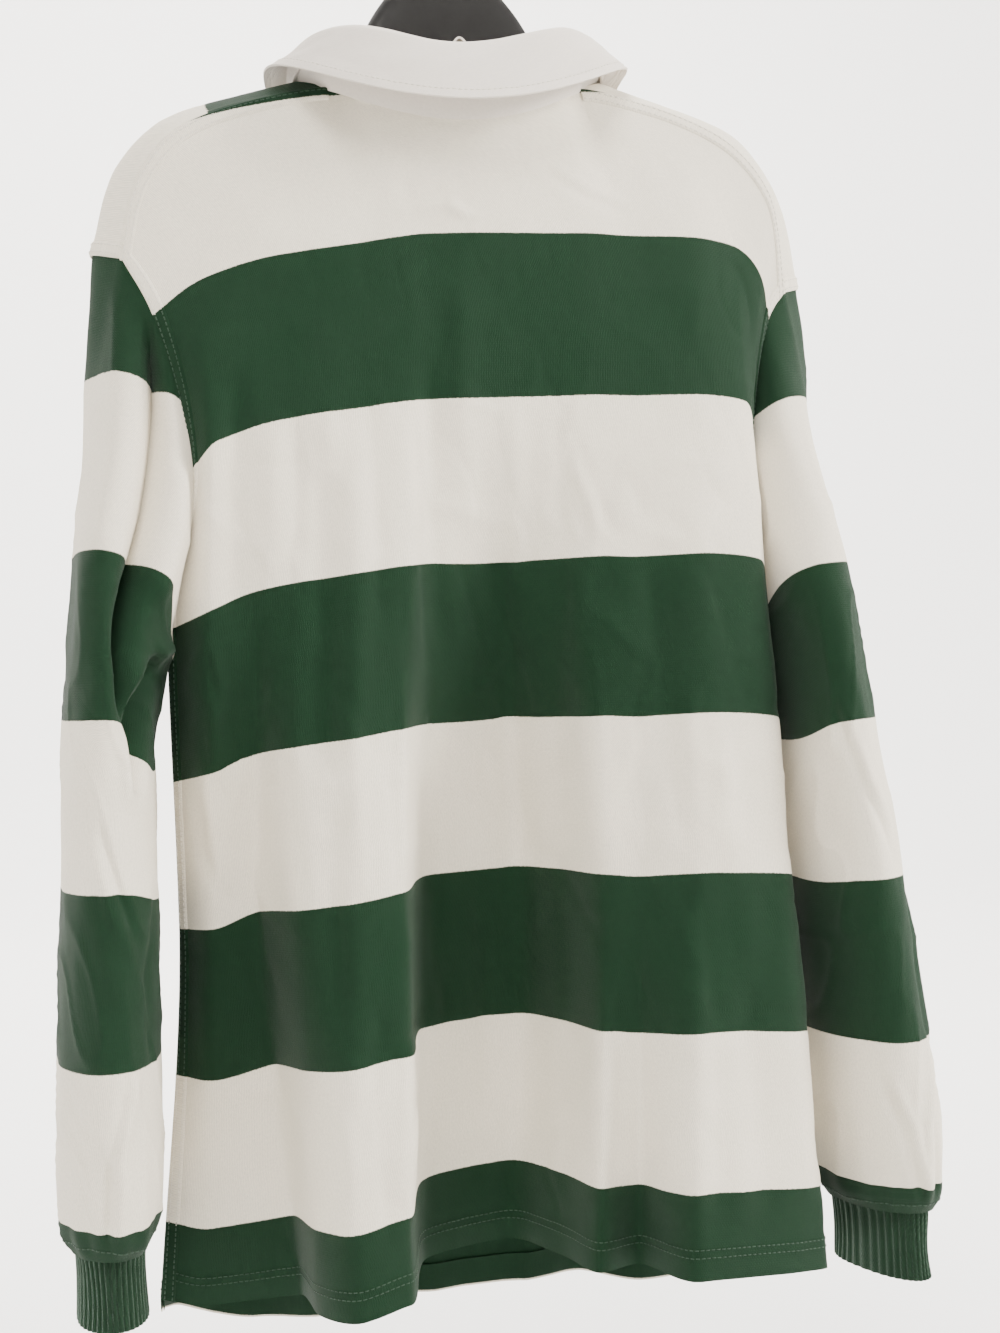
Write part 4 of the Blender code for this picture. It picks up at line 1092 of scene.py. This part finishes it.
def seam_band(name, surface, axis, backwards, sign, rows, profile=SEAM_PROFILE):
    """A felled seam: a raised band along one edge of a surface, and its stitch lines."""
    full = with_normals(surface, sign)
    near = at_distance(full, [max(0.0, place) for place, _ in profile], axis, backwards)
    near = near[rows]
    outside = near[:, 1, :3] - near[:, 2, :3]
    outside /= np.maximum(np.linalg.norm(outside, axis=-1, keepdims=True), 1e-9)
    grid = near[..., :4].copy()
    for index, (place, height) in enumerate(profile):
        grid[:, index, :3] += near[:, index, 4:] * (height + SHELL / 2)
        if place < 0:
            grid[:, index, :3] -= outside * place
    flat = np.stack([run_of(grid, 0), grid[..., 3]], axis=-1) * MM
    band = shell(name, grid, "hooped_jersey", 0.5, flat=flat)
    lines = []
    for place in SEAM_STITCHES:
        row = at_distance(full, [place], axis, backwards)[rows][:, 0]
        lines.append((row[:, :3] + row[:, 4:] * (SHELL / 2 + 1.0), row[:, 4:], row[:, 3]))
    return band, lines


def surface_line(full, distance, axis=0, backwards=True, rows=slice(None), proud=0.0):
    """A stitch line at a set distance in from an edge."""
    row = at_distance(full, [distance], axis, backwards)[rows][:, 0]
    return row[:, :3] + row[:, 4:] * (SHELL / 2 + proud), row[:, 4:], row[:, 3]


def declare(piece, nodes):
    """Sets what a cloth piece rides on, and hides the frame's parts that it replaces."""
    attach(piece, BODY)
    if nodes:
        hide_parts(*nodes)


def trim(piece):
    """A piece sewn on cloth: it rides on the body, and is given back."""
    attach(piece, BODY)
    return piece


def lathe(rings, sides):
    """Points and faces of a turned shape from (radius, height) rings."""
    points = []
    for radius, height in rings:
        for side in range(sides):
            angle = 2.0 * math.pi * side / sides
            points.append((radius * math.cos(angle), radius * math.sin(angle), height))
    return np.array(points), ring_faces(len(rings), sides)


def tube(name, path, radius, coat, sides=16, closed=False):
    """A round wire or thread along a path of points in table millimetres."""
    path = np.asarray(path, dtype=float)
    ahead = np.gradient(path, axis=0)
    ahead /= np.linalg.norm(ahead, axis=1, keepdims=True)
    up = np.array([0.0, 1.0, 0.0]) if abs(ahead[0][1]) < 0.9 else np.array([0.0, 0.0, 1.0])
    points = []
    for place, onward in zip(path, ahead):
        first = np.cross(onward, up)
        first /= np.linalg.norm(first)
        second = np.cross(onward, first)
        for side in range(sides):
            angle = 2.0 * math.pi * side / sides
            points.append(place + (first * math.cos(angle) + second * math.sin(angle)) * radius)
    faces = ring_faces(len(path), sides, closed=closed, inward=True)
    flat = np.repeat(np.stack([run_of(path[None], 1)[0], path[:, 2]], axis=1) * MM, sides, axis=0)
    return mesh_object(name, points, faces, coat, flat)


# ---------------------------------------------------------------- the panel's values

def length(name, description, default, least):
    """A length for the panel, in metres."""
    return bpy.props.FloatProperty(name=name, description=description, default=default,
                                   min=least, unit="LENGTH")


def colour(name, description, default):
    """A colour for the panel."""
    return bpy.props.FloatVectorProperty(name=name, description=description, subtype="COLOR",
                                         default=default, min=0.0, max=1.0)


class SHIRT_PG_sizes(bpy.types.PropertyGroup):
    """The sizes that can be changed"""
    hoop: length("Hoop", "Height of one stripe", HOOP * MM, 0.02)
    stitch: length("Stitch", "Length of one stitch", 0.0027, 0.001)
    stitch_gap: length("Stitch Gap", "Space between stitches", 0.0009, 0.0002)
    rib_height: length("Rib Height", "How far the cuffs' ribs stand up", 0.0005, 0.0)
    floor_drop: length("Floor Drop", "From the lowest hem down to the floor", 0.12, 0.01)


class SHIRT_PG_colours(bpy.types.PropertyGroup):
    """The colours that can be changed"""
    cream: colour("Cream", "The pale hoops", (0.8, 0.735, 0.61))
    green: colour("Green", "The dark hoops and the cuffs", (0.0032, 0.0215, 0.0075))
    twill: colour("Twill", "Collar, placket and tapes", (0.73, 0.67, 0.6))
    thread: colour("Thread", "Stitching on the pale cloth", (0.66, 0.61, 0.53))
    hanger: colour("Hanger", "The moulded hanger", (0.008, 0.0075, 0.007))


def stitch_sizes(context):
    """The panel's stitch, in table millimetres."""
    sizes = context.scene.shirt_sizes
    return {"length": sizes.stitch / MM, "gap": sizes.stitch_gap / MM}


# ---------------------------------------------------------------- the operators

# Fine rows down to the underarms, and fine columns where the shoulder seams end
BACK_UNDERARM_ROW = sum(level[2] for level in BACK_LEVELS[:4])
FRONT_UNDERARM_ROW = sum(level[2] for level in FRONT_LEVELS[:5])
LEFT_SHOULDER_COLUMNS = sum(fold[-1] for fold in BACK_FOLDS[:4]) * FINE
RIGHT_SHOULDER_START = sum(fold[-1] for fold in BACK_FOLDS[:10]) * FINE


class SHIRT_OT_finishes(bpy.types.Operator):
    """Makes the shirt's and the hanger's finishes"""
    bl_idname = "shirt.finishes"
    bl_label = "Finishes"

    def execute(self, context):
        build_finishes(context.scene.shirt_colours, context.scene.shirt_sizes)
        return {"FINISHED"}


class SHIRT_OT_body(bpy.types.Operator):
    """Builds the back and the front, their hems and the seams that join them"""
    bl_idname = "shirt.body"
    bl_label = "Body"

    def execute(self, context):
        back, front = back_surface(), front_surface()
        back_piece = shell("back_cloth", back, "hooped_jersey", flat=cloth_uv(back))
        front_piece = shell("front_cloth", front, "hooped_jersey", flat=cloth_uv(front),
                            cut=slit_cut(front))
        hems = []
        for name, surface, sign in (("back", back, 1.0), ("front", front, -1.0)):
            full = with_normals(surface, sign)
            turned = at_distance(full, np.linspace(0.6, HEM_DEPTH, 11), 0, True)
            turned[..., :3] -= turned[..., 4:7] * (SHELL + 0.5)
            flat = np.stack([run_of(turned, 0), turned[..., 3]], axis=-1) * MM
            hem = shell(name + "_hem_turning", turned[..., :4], "hooped_jersey", 0.8, flat=flat)
            runs = [surface_line(full, place, proud=0.1) for place in HEM_STITCHES]
            sewn = stitches(name + "_hem_stitches", runs, "hoop_thread", **stitch_sizes(context))
            hems.append([hem, sewn])
        seams = {"left": [], "right": []}
        lines = {"left": [], "right": []}
        for name, surface, sign, row in (("back", back, 1.0, BACK_UNDERARM_ROW),
                                         ("front", front, -1.0, FRONT_UNDERARM_ROW)):
            for side, backwards in (("left", False), ("right", True)):
                armhole_rows, side_rows = slice(0, row + 1), slice(row, None)
                band, runs = seam_band("band", surface, 1, backwards, sign, armhole_rows)
                seams[side].append(band)
                lines[side] += runs
                if name == "back":
                    band, runs = seam_band("band", surface, 1, backwards, sign, side_rows)
                    seams[side].append(band)
                    lines[side] += runs
        for side, columns in (("left", slice(0, LEFT_SHOULDER_COLUMNS + 1)),
                              ("right", slice(RIGHT_SHOULDER_START, None))):
            band, runs = seam_band("band", back, 0, False, 1.0, columns)
            seams[side].append(band)
            lines[side] += runs
        with_back = []
        for side in ("left", "right"):
            with_back.append(joined(side + "_seams", seams[side]))
            with_back.append(stitches(side + "_seam_stitches", lines[side], "hoop_thread",
                                      **stitch_sizes(context)))
        for piece in with_back + hems[0] + hems[1]:
            trim(piece)
        declare(back_piece, ["back_panel"])
        declare(front_piece, ["front_panel"])
        return {"FINISHED"}


class SHIRT_OT_sleeves(bpy.types.Operator):
    """Builds the sleeves, gathered a little into their cuffs"""
    bl_idname = "shirt.sleeves"
    bl_label = "Sleeves"

    def execute(self, context):
        for which in SLEEVE:
            surface = sleeve_surface(which)
            piece = shell(which + "_sleeve_cloth", surface, "hooped_jersey", closed=True,
                          flat=cloth_uv(surface))
            normals = outward(surface, True)
            sign = tube_sign(surface, normals)
            row = SLEEVE_ROWS - 3
            loop = np.concatenate([surface[row], surface[row, :1]])
            out = np.concatenate([normals[row], normals[row, :1]]) * sign
            sewn = stitches(which + "_cuff_stitches",
                            [(loop[:, :3] + out * (SHELL / 2 + 0.1), out, loop[:, 3])],
                            "hoop_thread", **stitch_sizes(context))
            trim(sewn)
            declare(piece, [which + "_sleeve"])
        return {"FINISHED"}


class SHIRT_OT_cuffs(bpy.types.Operator):
    """Builds the ribbed cuffs"""
    bl_idname = "shirt.cuffs"
    bl_label = "Cuffs"

    def execute(self, context):
        high = context.scene.shirt_sizes.rib_height / MM
        columns = CUFF_RIBS * 8
        rows = 26
        turns = np.arange(columns) * 360.0 / columns
        for which, set_of in SLEEVE.items():
            down = np.linspace(-4.0, CUFF_LENGTH, rows + 1)[:, None]
            values = np.broadcast_to(np.array(SLEEVE_SECTIONS[-1]), (rows + 1, columns, 8)).copy()
            values[..., 0] = SLEEVE_LENGTH + 1.2 + down
            waist = np.sin(np.clip(down / CUFF_LENGTH, 0, 1) * np.pi)
            join = 1.0 - smooth_step(down, 0.0, 7.0)
            for place, (full, end) in enumerate(zip(set_of["cuff"], SLEEVE_SECTIONS[-1][4:6]), 4):
                free = full - waist * 1.2
                values[..., place] = free + (min(end - 2.2, full) - free) * join
            grid = section_points(values, np.broadcast_to(turns, (rows + 1, columns)), set_of)
            rib = np.cos(np.radians(turns) * CUFF_RIBS)
            rib = np.sign(rib) * np.abs(rib) ** 0.5
            level = np.broadcast_to(down, (rows + 1, columns))
            swell = cylinder_ripple(turns / 360.0, level, 11, 30.0, 71) * 0.9
            grid = np.concatenate([grid, level[..., None]], axis=-1)
            grid = grid if set_of["side"] > 0 else grid[:, ::-1]
            normals = outward(grid, True)
            lift = (rib * high + swell * smooth_step(down, -2.0, 8.0)) * tube_sign(grid, normals)
            lift = lift if set_of["side"] > 0 else lift[:, ::-1]
            piece = shell(which + "_rib_cuff", grid, "rib_knit", 1.4, closed=True,
                          flat=cloth_uv(grid), lift=lift)
            declare(piece, [which + "_cuff"])
        return {"FINISHED"}


class SHIRT_OT_collar(bpy.types.Operator):
    """Builds the collar: a stand round the neck and a leaf folded over it"""
    bl_idname = "shirt.collar"
    bl_label = "Collar"

    def execute(self, context):
        angles = np.linspace(LEAF_END_ANGLE, -LEAF_END_ANGLE, 261)
        roll, edge = neck_loop(COLLAR_ROLL, angles), neck_loop(COLLAR_EDGE, angles)
        spread = (edge - roll) * (1.0, 1.0, 0.0)
        away = spread / np.linalg.norm(spread, axis=1, keepdims=True)
        up = np.array([0.0, 0.0, 1.0])
        lines = [roll - away * 2.6 - up * 8.0, roll - away * 2.4 - up * 2.2, roll + up * 0.9,
                 roll + (edge - roll) * (0.16, 0.16, 0.02),
                 roll + (edge - roll) * (0.62, 0.62, 0.45), edge]
        places = np.concatenate([np.linspace(0, 3, 16)[:-1], np.linspace(3, 5, 30)])
        grid = flowing(np.stack(lines), places)
        run = run_of(grid, 0)
        from_edge = run[-1:] - run
        across = run_of(grid, 1)
        lift = ripple(across / 34.0, from_edge / 26.0, 61) * 0.9
        lift += ripple(across / 13.0, from_edge / 18.0, 62) * 0.3
        lift *= smooth_step(from_edge, 2.0, 14.0) * smooth_step(run, 4.0, 14.0)
        lift += 0.45 * (1.0 - smooth_step(from_edge, 4.6, 5.6))
        near_edge = 1.0 - smooth_step(np.abs(from_edge - 4.5), 1.5, 5.0)
        lift += ripple(across / 3.0 + from_edge / 6.0, from_edge / 7.0, 63) * 0.35 * near_edge
        lift += ripple(across / 60.0, from_edge / 30.0, 64) * 1.2 * smooth_step(from_edge, 4.0, 16.0)
        normals = outward(grid)
        middle = np.array([HANGER_X, 0.0, -150.0])
        facing = 1.0 if ((grid[-8] - middle) * normals[-8] * (1, 1, 0)).sum() > 0 else -1.0
        grid = grid + normals * (lift * facing)[..., None]
        leaf = shell("collar_fall", grid, "cotton_twill", TWILL)
        full = with_normals(np.concatenate([grid, np.zeros_like(across)[..., None]], axis=-1), facing)
        runs = [surface_line(full, LEAF_STITCH, 0, True, proud=0.25)]
        for backwards in (False, True):
            runs.append(surface_line(full, LEAF_STITCH, 1, backwards, slice(17, 42), proud=0.25))
        sewn = trim(stitches("collar_stitches", runs, "pale_thread", **stitch_sizes(context)))
        declare(leaf, ["collar_leaf"])
        angles = np.linspace(STAND_END_ANGLE, -STAND_END_ANGLE, 201)
        foot, head = neck_loop(NECK, angles) - up * 1.5, neck_loop(COLLAR_ROLL, angles) - up * 2.4
        grid = flowing(np.stack([head, (head + foot) / 2 - away_from(angles), foot]),
                       np.linspace(0, 2, 17))
        stand = shell("collar_stand_band", grid, "cotton_twill", TWILL)
        declare(stand, ["collar_stand"])
        return {"FINISHED"}


def away_from(angles):
    """A slight hollow for the middle of the collar's stand."""
    turned = np.radians(angles)
    return np.stack([np.sin(turned), np.cos(turned), np.zeros_like(turned)], axis=1) * 0.8


def placket_strip(out, width, start, length, rows, columns):
    """The front at its centre, moved out by so much: points and normals."""
    table = fold_points(FRONT_FOLDS, FRONT_LEVELS)
    centre = [fold[0] for fold in FRONT_FOLDS].index(SLIT_FOLD) + 0.5
    reach = width / 2.0 / 32.0
    places = centre + np.linspace(-reach, reach, columns)
    levels = np.linspace(0.0, 4.0, 161)
    middle = between(table, levels, np.array([centre]))[:, 0]
    depth = middle[0, 2] - middle[:, 2]
    at = np.interp(np.linspace(start, length, rows), depth, levels)
    grid = between(table, at, places)
    normals = -outward(grid)
    grid[..., :3] += normals * out
    return grid, normals


class SHIRT_OT_placket(bpy.types.Operator):
    """Builds the placket's two layers and its stitching"""
    bl_idname = "shirt.placket"
    bl_label = "Placket"

    def execute(self, context):
        beside = WALL / 2.0 + LAID_ON + TWILL / 2.0
        grid, normals = placket_strip(beside, PLACKET_WIDTH, 0.5, PLACKET_LENGTH, 60, 15)
        flat = np.stack([run_of(grid, 1), run_of(grid, 0)], axis=-1) * MM
        top = shell("placket_front", grid, "cotton_twill", TWILL, flat=flat)
        full = np.concatenate([grid, normals], axis=-1)
        runs = []
        for backwards in (False, True):
            runs.append(surface_line(full, 2.5, 1, backwards, proud=0.3))
        for place in (2.5, 32.0):
            runs.append(surface_line(full, place, 0, True, proud=0.3))
        low, high = full[-2], full[-14]
        for first, second in ((low[1], high[-2]), (low[-2], high[1])):
            line = first + (second - first) * np.linspace(0, 1, 24)[:, None]
            runs.append((line[:, :3] + line[:, 4:] * 1.2, line[:, 4:], line[:, 3]))
        middle = full[:, 7]
        depth = middle[0, 2] - middle[:, 2]
        for drop in BUTTON_DROPS:
            at = np.linspace(drop - 9.0, drop + 9.0, 30)
            line = np.stack([np.interp(at, depth, middle[:, axis]) for axis in range(7)], axis=1)
            for shift in (-0.9, 0.9):
                beside_it = line[:, :3] + line[:, 4:] * 1.0 + (shift, 0.0, 0.0)
                runs.append((beside_it, line[:, 4:], line[:, 3]))
        sewn = trim(stitches("placket_stitches", runs, "pale_thread", **stitch_sizes(context)))
        grid, _ = placket_strip(-beside - LAID_ON, UNDER_WIDTH, 4.0, PLACKET_LENGTH - 6.0, 50, 11)
        under = shell("placket_facing", grid, "cotton_twill", TWILL)
        declare(top, ["placket_over"])
        declare(under, ["placket_under"])
        return {"FINISHED"}


class SHIRT_OT_buttons(bpy.types.Operator):
    """Builds the three rubber buttons with their holes and thread"""
    bl_idname = "shirt.buttons"
    bl_label = "Buttons"

    def execute(self, context):
        grid, normals = placket_strip(WALL / 2.0 + LAID_ON + TWILL / 2.0, 4.0, 2.0,
                                      PLACKET_LENGTH, 60, 3)
        depth = grid[0, 1, 2] - grid[:, 1, 2]
        for number, drop in enumerate(BUTTON_DROPS, 1):
            at = [np.interp(drop, depth, grid[:, 1, axis]) for axis in range(3)]
            normal = Vector([np.interp(drop, depth, normals[:, 1, axis]) for axis in range(3)])
            turn = normal.normalized().to_track_quat("Z", "Y").to_matrix()
            points, faces = lathe([(BUTTON_RADIUS * share, height)
                                   for share, height in BUTTON_RINGS], 64)
            points[:, 2] += TWILL / 2.0 + LAID_ON
            place = np.array([turn @ Vector(point) for point in points]) + at
            button = mesh_object("rubber_button_%d" % number, place, faces, "button_rubber")
            parts = []
            for shift_x, shift_y in ((1, 1), (-1, 1), (-1, -1), (1, -1)):
                hole, hole_faces = lathe(((HOLE_RADIUS, 1.0), (HOLE_RADIUS, 4.0)), 20)
                hole += (shift_x * HOLE_OUT, shift_y * HOLE_OUT, 0.0)
                place = np.array([turn @ Vector(point) for point in hole]) + at
                parts.append(mesh_object("hole", place, hole_faces, "button_rubber"))
            cutter = joined("button_hole_cutter", parts)
            cut = button.modifiers.new("holes", "BOOLEAN")
            cut.object = cutter
            cut.operation = "DIFFERENCE"
            with bpy.context.temp_override(active_object=button, object=button):
                bpy.ops.object.modifier_apply(modifier=cut.name)
            bpy.data.objects.remove(cutter, do_unlink=True)
            threads = []
            for side in (-1, 1):
                line = [(side * HOLE_OUT * (1 - 2 * share), HOLE_OUT * (2 * share - 1),
                         2.75 + 0.35 * math.sin(math.pi * share))
                        for share in np.linspace(0, 1, 9)]
                line = [(line[0][0], line[0][1], 1.9)] + line + [(line[-1][0], line[-1][1], 1.9)]
                place = np.array([turn @ Vector(point) for point in line]) + at
                threads.append(tube("thread", place, 0.32, "pale_thread", 8))
            sewn = joined("button_thread_%d" % number, threads)
            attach(button, BODY)
            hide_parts("button_%d" % number)
            trim(sewn)
        return {"FINISHED"}


class SHIRT_OT_tapes(bpy.types.Operator):
    """Builds the locker loop and the tapes inside the side vents"""
    bl_idname = "shirt.tapes"
    bl_label = "Loop and Tapes"

    def execute(self, context):
        half, high, top = 11.0, 50.0, -103.0
        arch = np.array([(-half, -high), (-half * 0.85, -high * 0.45), (-half * 0.4, -4.0),
                         (0.0, 0.0), (half * 0.4, -4.0), (half * 0.85, -high * 0.45),
                         (half, -high)])
        line = flowing(arch, np.linspace(0, 6, 61))
        across = np.linspace(-3.5, 3.5, 7)
        grid = np.zeros((7, 61, 3))
        grid[..., 0] = HANGER_X + line[:, 0]
        grid[..., 1] = 52.0 + across[:, None]
        grid[..., 2] = line[:, 1] + top - 0.25 * (across[:, None] / 3.5) ** 2
        flat = np.stack([run_of(grid, 0), run_of(grid, 1)], axis=-1) * MM
        loop = shell("locker_tape", grid, "cotton_twill", 1.2, flat=flat)
        declare(loop, ["locker_loop"])
        full = with_normals(back_surface())
        for name, backwards in (("left", False), ("right", True)):
            near = at_distance(full, np.linspace(3.0, 3.0 + TAPE_WIDTH, 6), 1, backwards)
            fall = run_of(near, 0)[:, 0]
            rows = np.nonzero((fall[-1] - fall < TAPE_LENGTH + 6.0) & (fall[-1] - fall > 6.0))[0]
            near = near[rows]
            grid = near[..., :3] - near[..., 4:] * 2.6
            tape = shell(name + "_vent_binding", grid, "cotton_twill", 0.8)
            declare(tape, [name + "_vent_tape"])
        return {"FINISHED"}


class SHIRT_OT_hanger(bpy.types.Operator):
    """Builds the moulded hanger"""
    bl_idname = "shirt.hanger"
    bl_label = "Hanger"

    def execute(self, context):
        sides = HANGER_SIDES
        sections = np.array(HANGER_SECTIONS)
        fine = flowing(sections, np.linspace(0, len(sections) - 1, 90))
        tip_x, tip_top, tip_bottom, tip_depth = fine[-1]
        middle = (tip_top + tip_bottom) / 2
        ends = []
        for share in (0.55, 0.86, 0.98):
            shrink = math.sqrt(1.0 - share * share)
            ends.append((tip_x + share * HANGER_TIP, middle + (tip_top - middle) * shrink,
                         middle + (tip_bottom - middle) * shrink, tip_depth * shrink))
        fine = np.concatenate([fine, np.array(ends)])
        whole = np.concatenate([fine[:0:-1] * (-1, 1, 1, 1), fine])
        angle = np.arange(sides) * 2 * math.pi / sides
        lean = np.sign(np.cos(angle)) * np.abs(np.cos(angle)) ** 0.7
        points = np.zeros((len(whole), sides, 3))
        points[..., 0] = HANGER_X + whole[:, :1]
        points[..., 1] = lean * whole[:, 3:4]
        reach = (whole[:, 1:2] - whole[:, 2:3]) / 2
        points[..., 2] = (whole[:, 1:2] + whole[:, 2:3]) / 2 + np.sin(angle) * reach
        faces = ring_faces(len(whole), sides, inward=True)
        hanger = mesh_object("hanger_moulding", points, faces, "moulded_plastic")
        seam = np.concatenate([points[6:-6, sides // 4], points[6:-6, 3 * sides // 4][::-1]])
        line = tube("hanger_mould_line", seam, 0.35, "moulded_plastic", 8, closed=True)
        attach(hanger, BODY)
        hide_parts("hanger_body")
        trim(line)
        return {"FINISHED"}


class SHIRT_OT_hook(bpy.types.Operator):
    """Builds the steel hook"""
    bl_idname = "shirt.hook"
    bl_label = "Hook"

    def execute(self, context):
        middle = HOOK_RISE + HOOK_WIRE - HOOK_RADIUS
        foot = HANGER_SECTIONS[0][1] + LAID_ON
        angles = np.radians(np.linspace(-78.0, 150.0, 90))
        bow = np.stack([HANGER_X + HOOK_RADIUS * np.cos(angles), np.zeros_like(angles),
                        middle + HOOK_RADIUS * np.sin(angles)], axis=1)
        bend = np.array([(HANGER_X, 0.0, foot + rise) for rise in (0.0, 1.5, 3.0)])
        wire = tube("hanger_wire", np.concatenate([bend, bow]), HOOK_WIRE, "bright_steel", 24)
        ball, faces = lathe([(max(0.05, 2.3 * math.cos(a)), 2.3 * math.sin(a))
                             for a in np.linspace(-1.5, 1.5, 17)], 24)
        cap = mesh_object("hook_tip", ball + bow[-1], faces, "bright_steel")
        hook = joined("hanger_wire", [wire, cap])
        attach(hook, BODY)
        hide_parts("hanger_hook")
        return {"FINISHED"}


class SHIRT_OT_stage(bpy.types.Operator):
    """Builds the pale studio, its soft lights and the camera"""
    bl_idname = "shirt.stage"
    bl_label = "Stage"

    def execute(self, context):
        floor = CAD_BOX[0][2] - context.scene.shirt_sizes.floor_drop
        profile = [(0.02 + 3.18 * step / 8, floor) for step in range(9)]
        for angle in np.linspace(0, math.pi / 2, 24)[1:]:
            profile.append((3.2 + 1.6 * math.sin(angle), floor + 1.6 * (1 - math.cos(angle))))
        profile.append((4.8, floor + 5.5))
        points, faces = lathe(profile, 96)
        mesh = bpy.data.meshes.new("studio_cove")
        mesh.from_pydata(points.tolist(), [], faces[:-1])
        mesh.shade_smooth()
        mesh.materials.append(bpy.data.materials["studio_paint"])
        cove = bpy.data.objects.new("studio_cove", mesh)
        context.scene.collection.objects.link(cove)
        world = bpy.data.worlds.new("studio_air")
        world.use_nodes = True
        air = world.node_tree.nodes["Background"]
        air.inputs["Color"].default_value = AIR_COLOUR
        air.inputs["Strength"].default_value = AIR_STRENGTH
        context.scene.world = world
        for name, place, target, size, power in LIGHTS:
            lamp = bpy.data.lights.new(name, "AREA")
            lamp.shape = "DISK"
            lamp.size = size
            lamp.energy = power
            lamp.color = LIGHT_COLOUR
            holder = bpy.data.objects.new(name, lamp)
            holder.location = place
            aim = Vector(target) - Vector(place)
            holder.rotation_euler = aim.to_track_quat("-Z", "Y").to_euler()
            context.scene.collection.objects.link(holder)
        lens = bpy.data.cameras.new("shirt_camera")
        lens.sensor_fit = "VERTICAL"
        lens.sensor_height = 36.0
        lens.lens = CAMERA_LENS
        lens.clip_end = 50.0
        camera = bpy.data.objects.new("shirt_camera", lens)
        turn = math.radians(CAMERA_TURN)
        facing = Vector((-math.sin(turn), -math.cos(turn), 0.0))
        camera.matrix_world = (Matrix.Translation(CAMERA_PLACE)
                               @ facing.to_track_quat("-Z", "Y").to_matrix().to_4x4()
                               @ Matrix.Rotation(math.radians(CAMERA_TILT), 4, "Z"))
        context.scene.collection.objects.link(camera)
        context.scene.camera = camera
        return {"FINISHED"}


OPERATORS = (SHIRT_OT_finishes, SHIRT_OT_body, SHIRT_OT_sleeves, SHIRT_OT_cuffs,
             SHIRT_OT_collar, SHIRT_OT_placket, SHIRT_OT_buttons, SHIRT_OT_tapes,
             SHIRT_OT_hanger, SHIRT_OT_hook, SHIRT_OT_stage)


class SHIRT_PT_build(bpy.types.Panel):
    """Sizes, colours and pieces of the shirt"""
    bl_idname = "SHIRT_PT_build"
    bl_label = "Rugby Shirt"
    bl_space_type = "VIEW_3D"
    bl_region_type = "UI"
    bl_category = "Shirt"

    def draw(self, context):
        for group in (context.scene.shirt_sizes, context.scene.shirt_colours):
            for name in group.bl_rna.properties.keys():
                if name not in {"rna_type", "name"}:
                    self.layout.prop(group, name)
        for operator in OPERATORS:
            self.layout.operator(operator.bl_idname)


CLASSES = (SHIRT_PG_sizes, SHIRT_PG_colours) + OPERATORS + (SHIRT_PT_build,)


def register():
    for made in CLASSES:
        bpy.utils.register_class(made)
    bpy.types.Scene.shirt_sizes = bpy.props.PointerProperty(type=SHIRT_PG_sizes)
    bpy.types.Scene.shirt_colours = bpy.props.PointerProperty(type=SHIRT_PG_colours)


def unregister():
    del bpy.types.Scene.shirt_colours
    del bpy.types.Scene.shirt_sizes
    for made in reversed(CLASSES):
        bpy.utils.unregister_class(made)


def main():
    """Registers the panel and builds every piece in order."""
    register()
    bpy.ops.shirt.finishes()
    bpy.ops.shirt.body()
    bpy.ops.shirt.sleeves()
    bpy.ops.shirt.cuffs()
    bpy.ops.shirt.collar()
    bpy.ops.shirt.placket()
    bpy.ops.shirt.buttons()
    bpy.ops.shirt.tapes()
    bpy.ops.shirt.hanger()
    bpy.ops.shirt.hook()
    bpy.ops.shirt.stage()


if __name__ == "__main__":
    main()
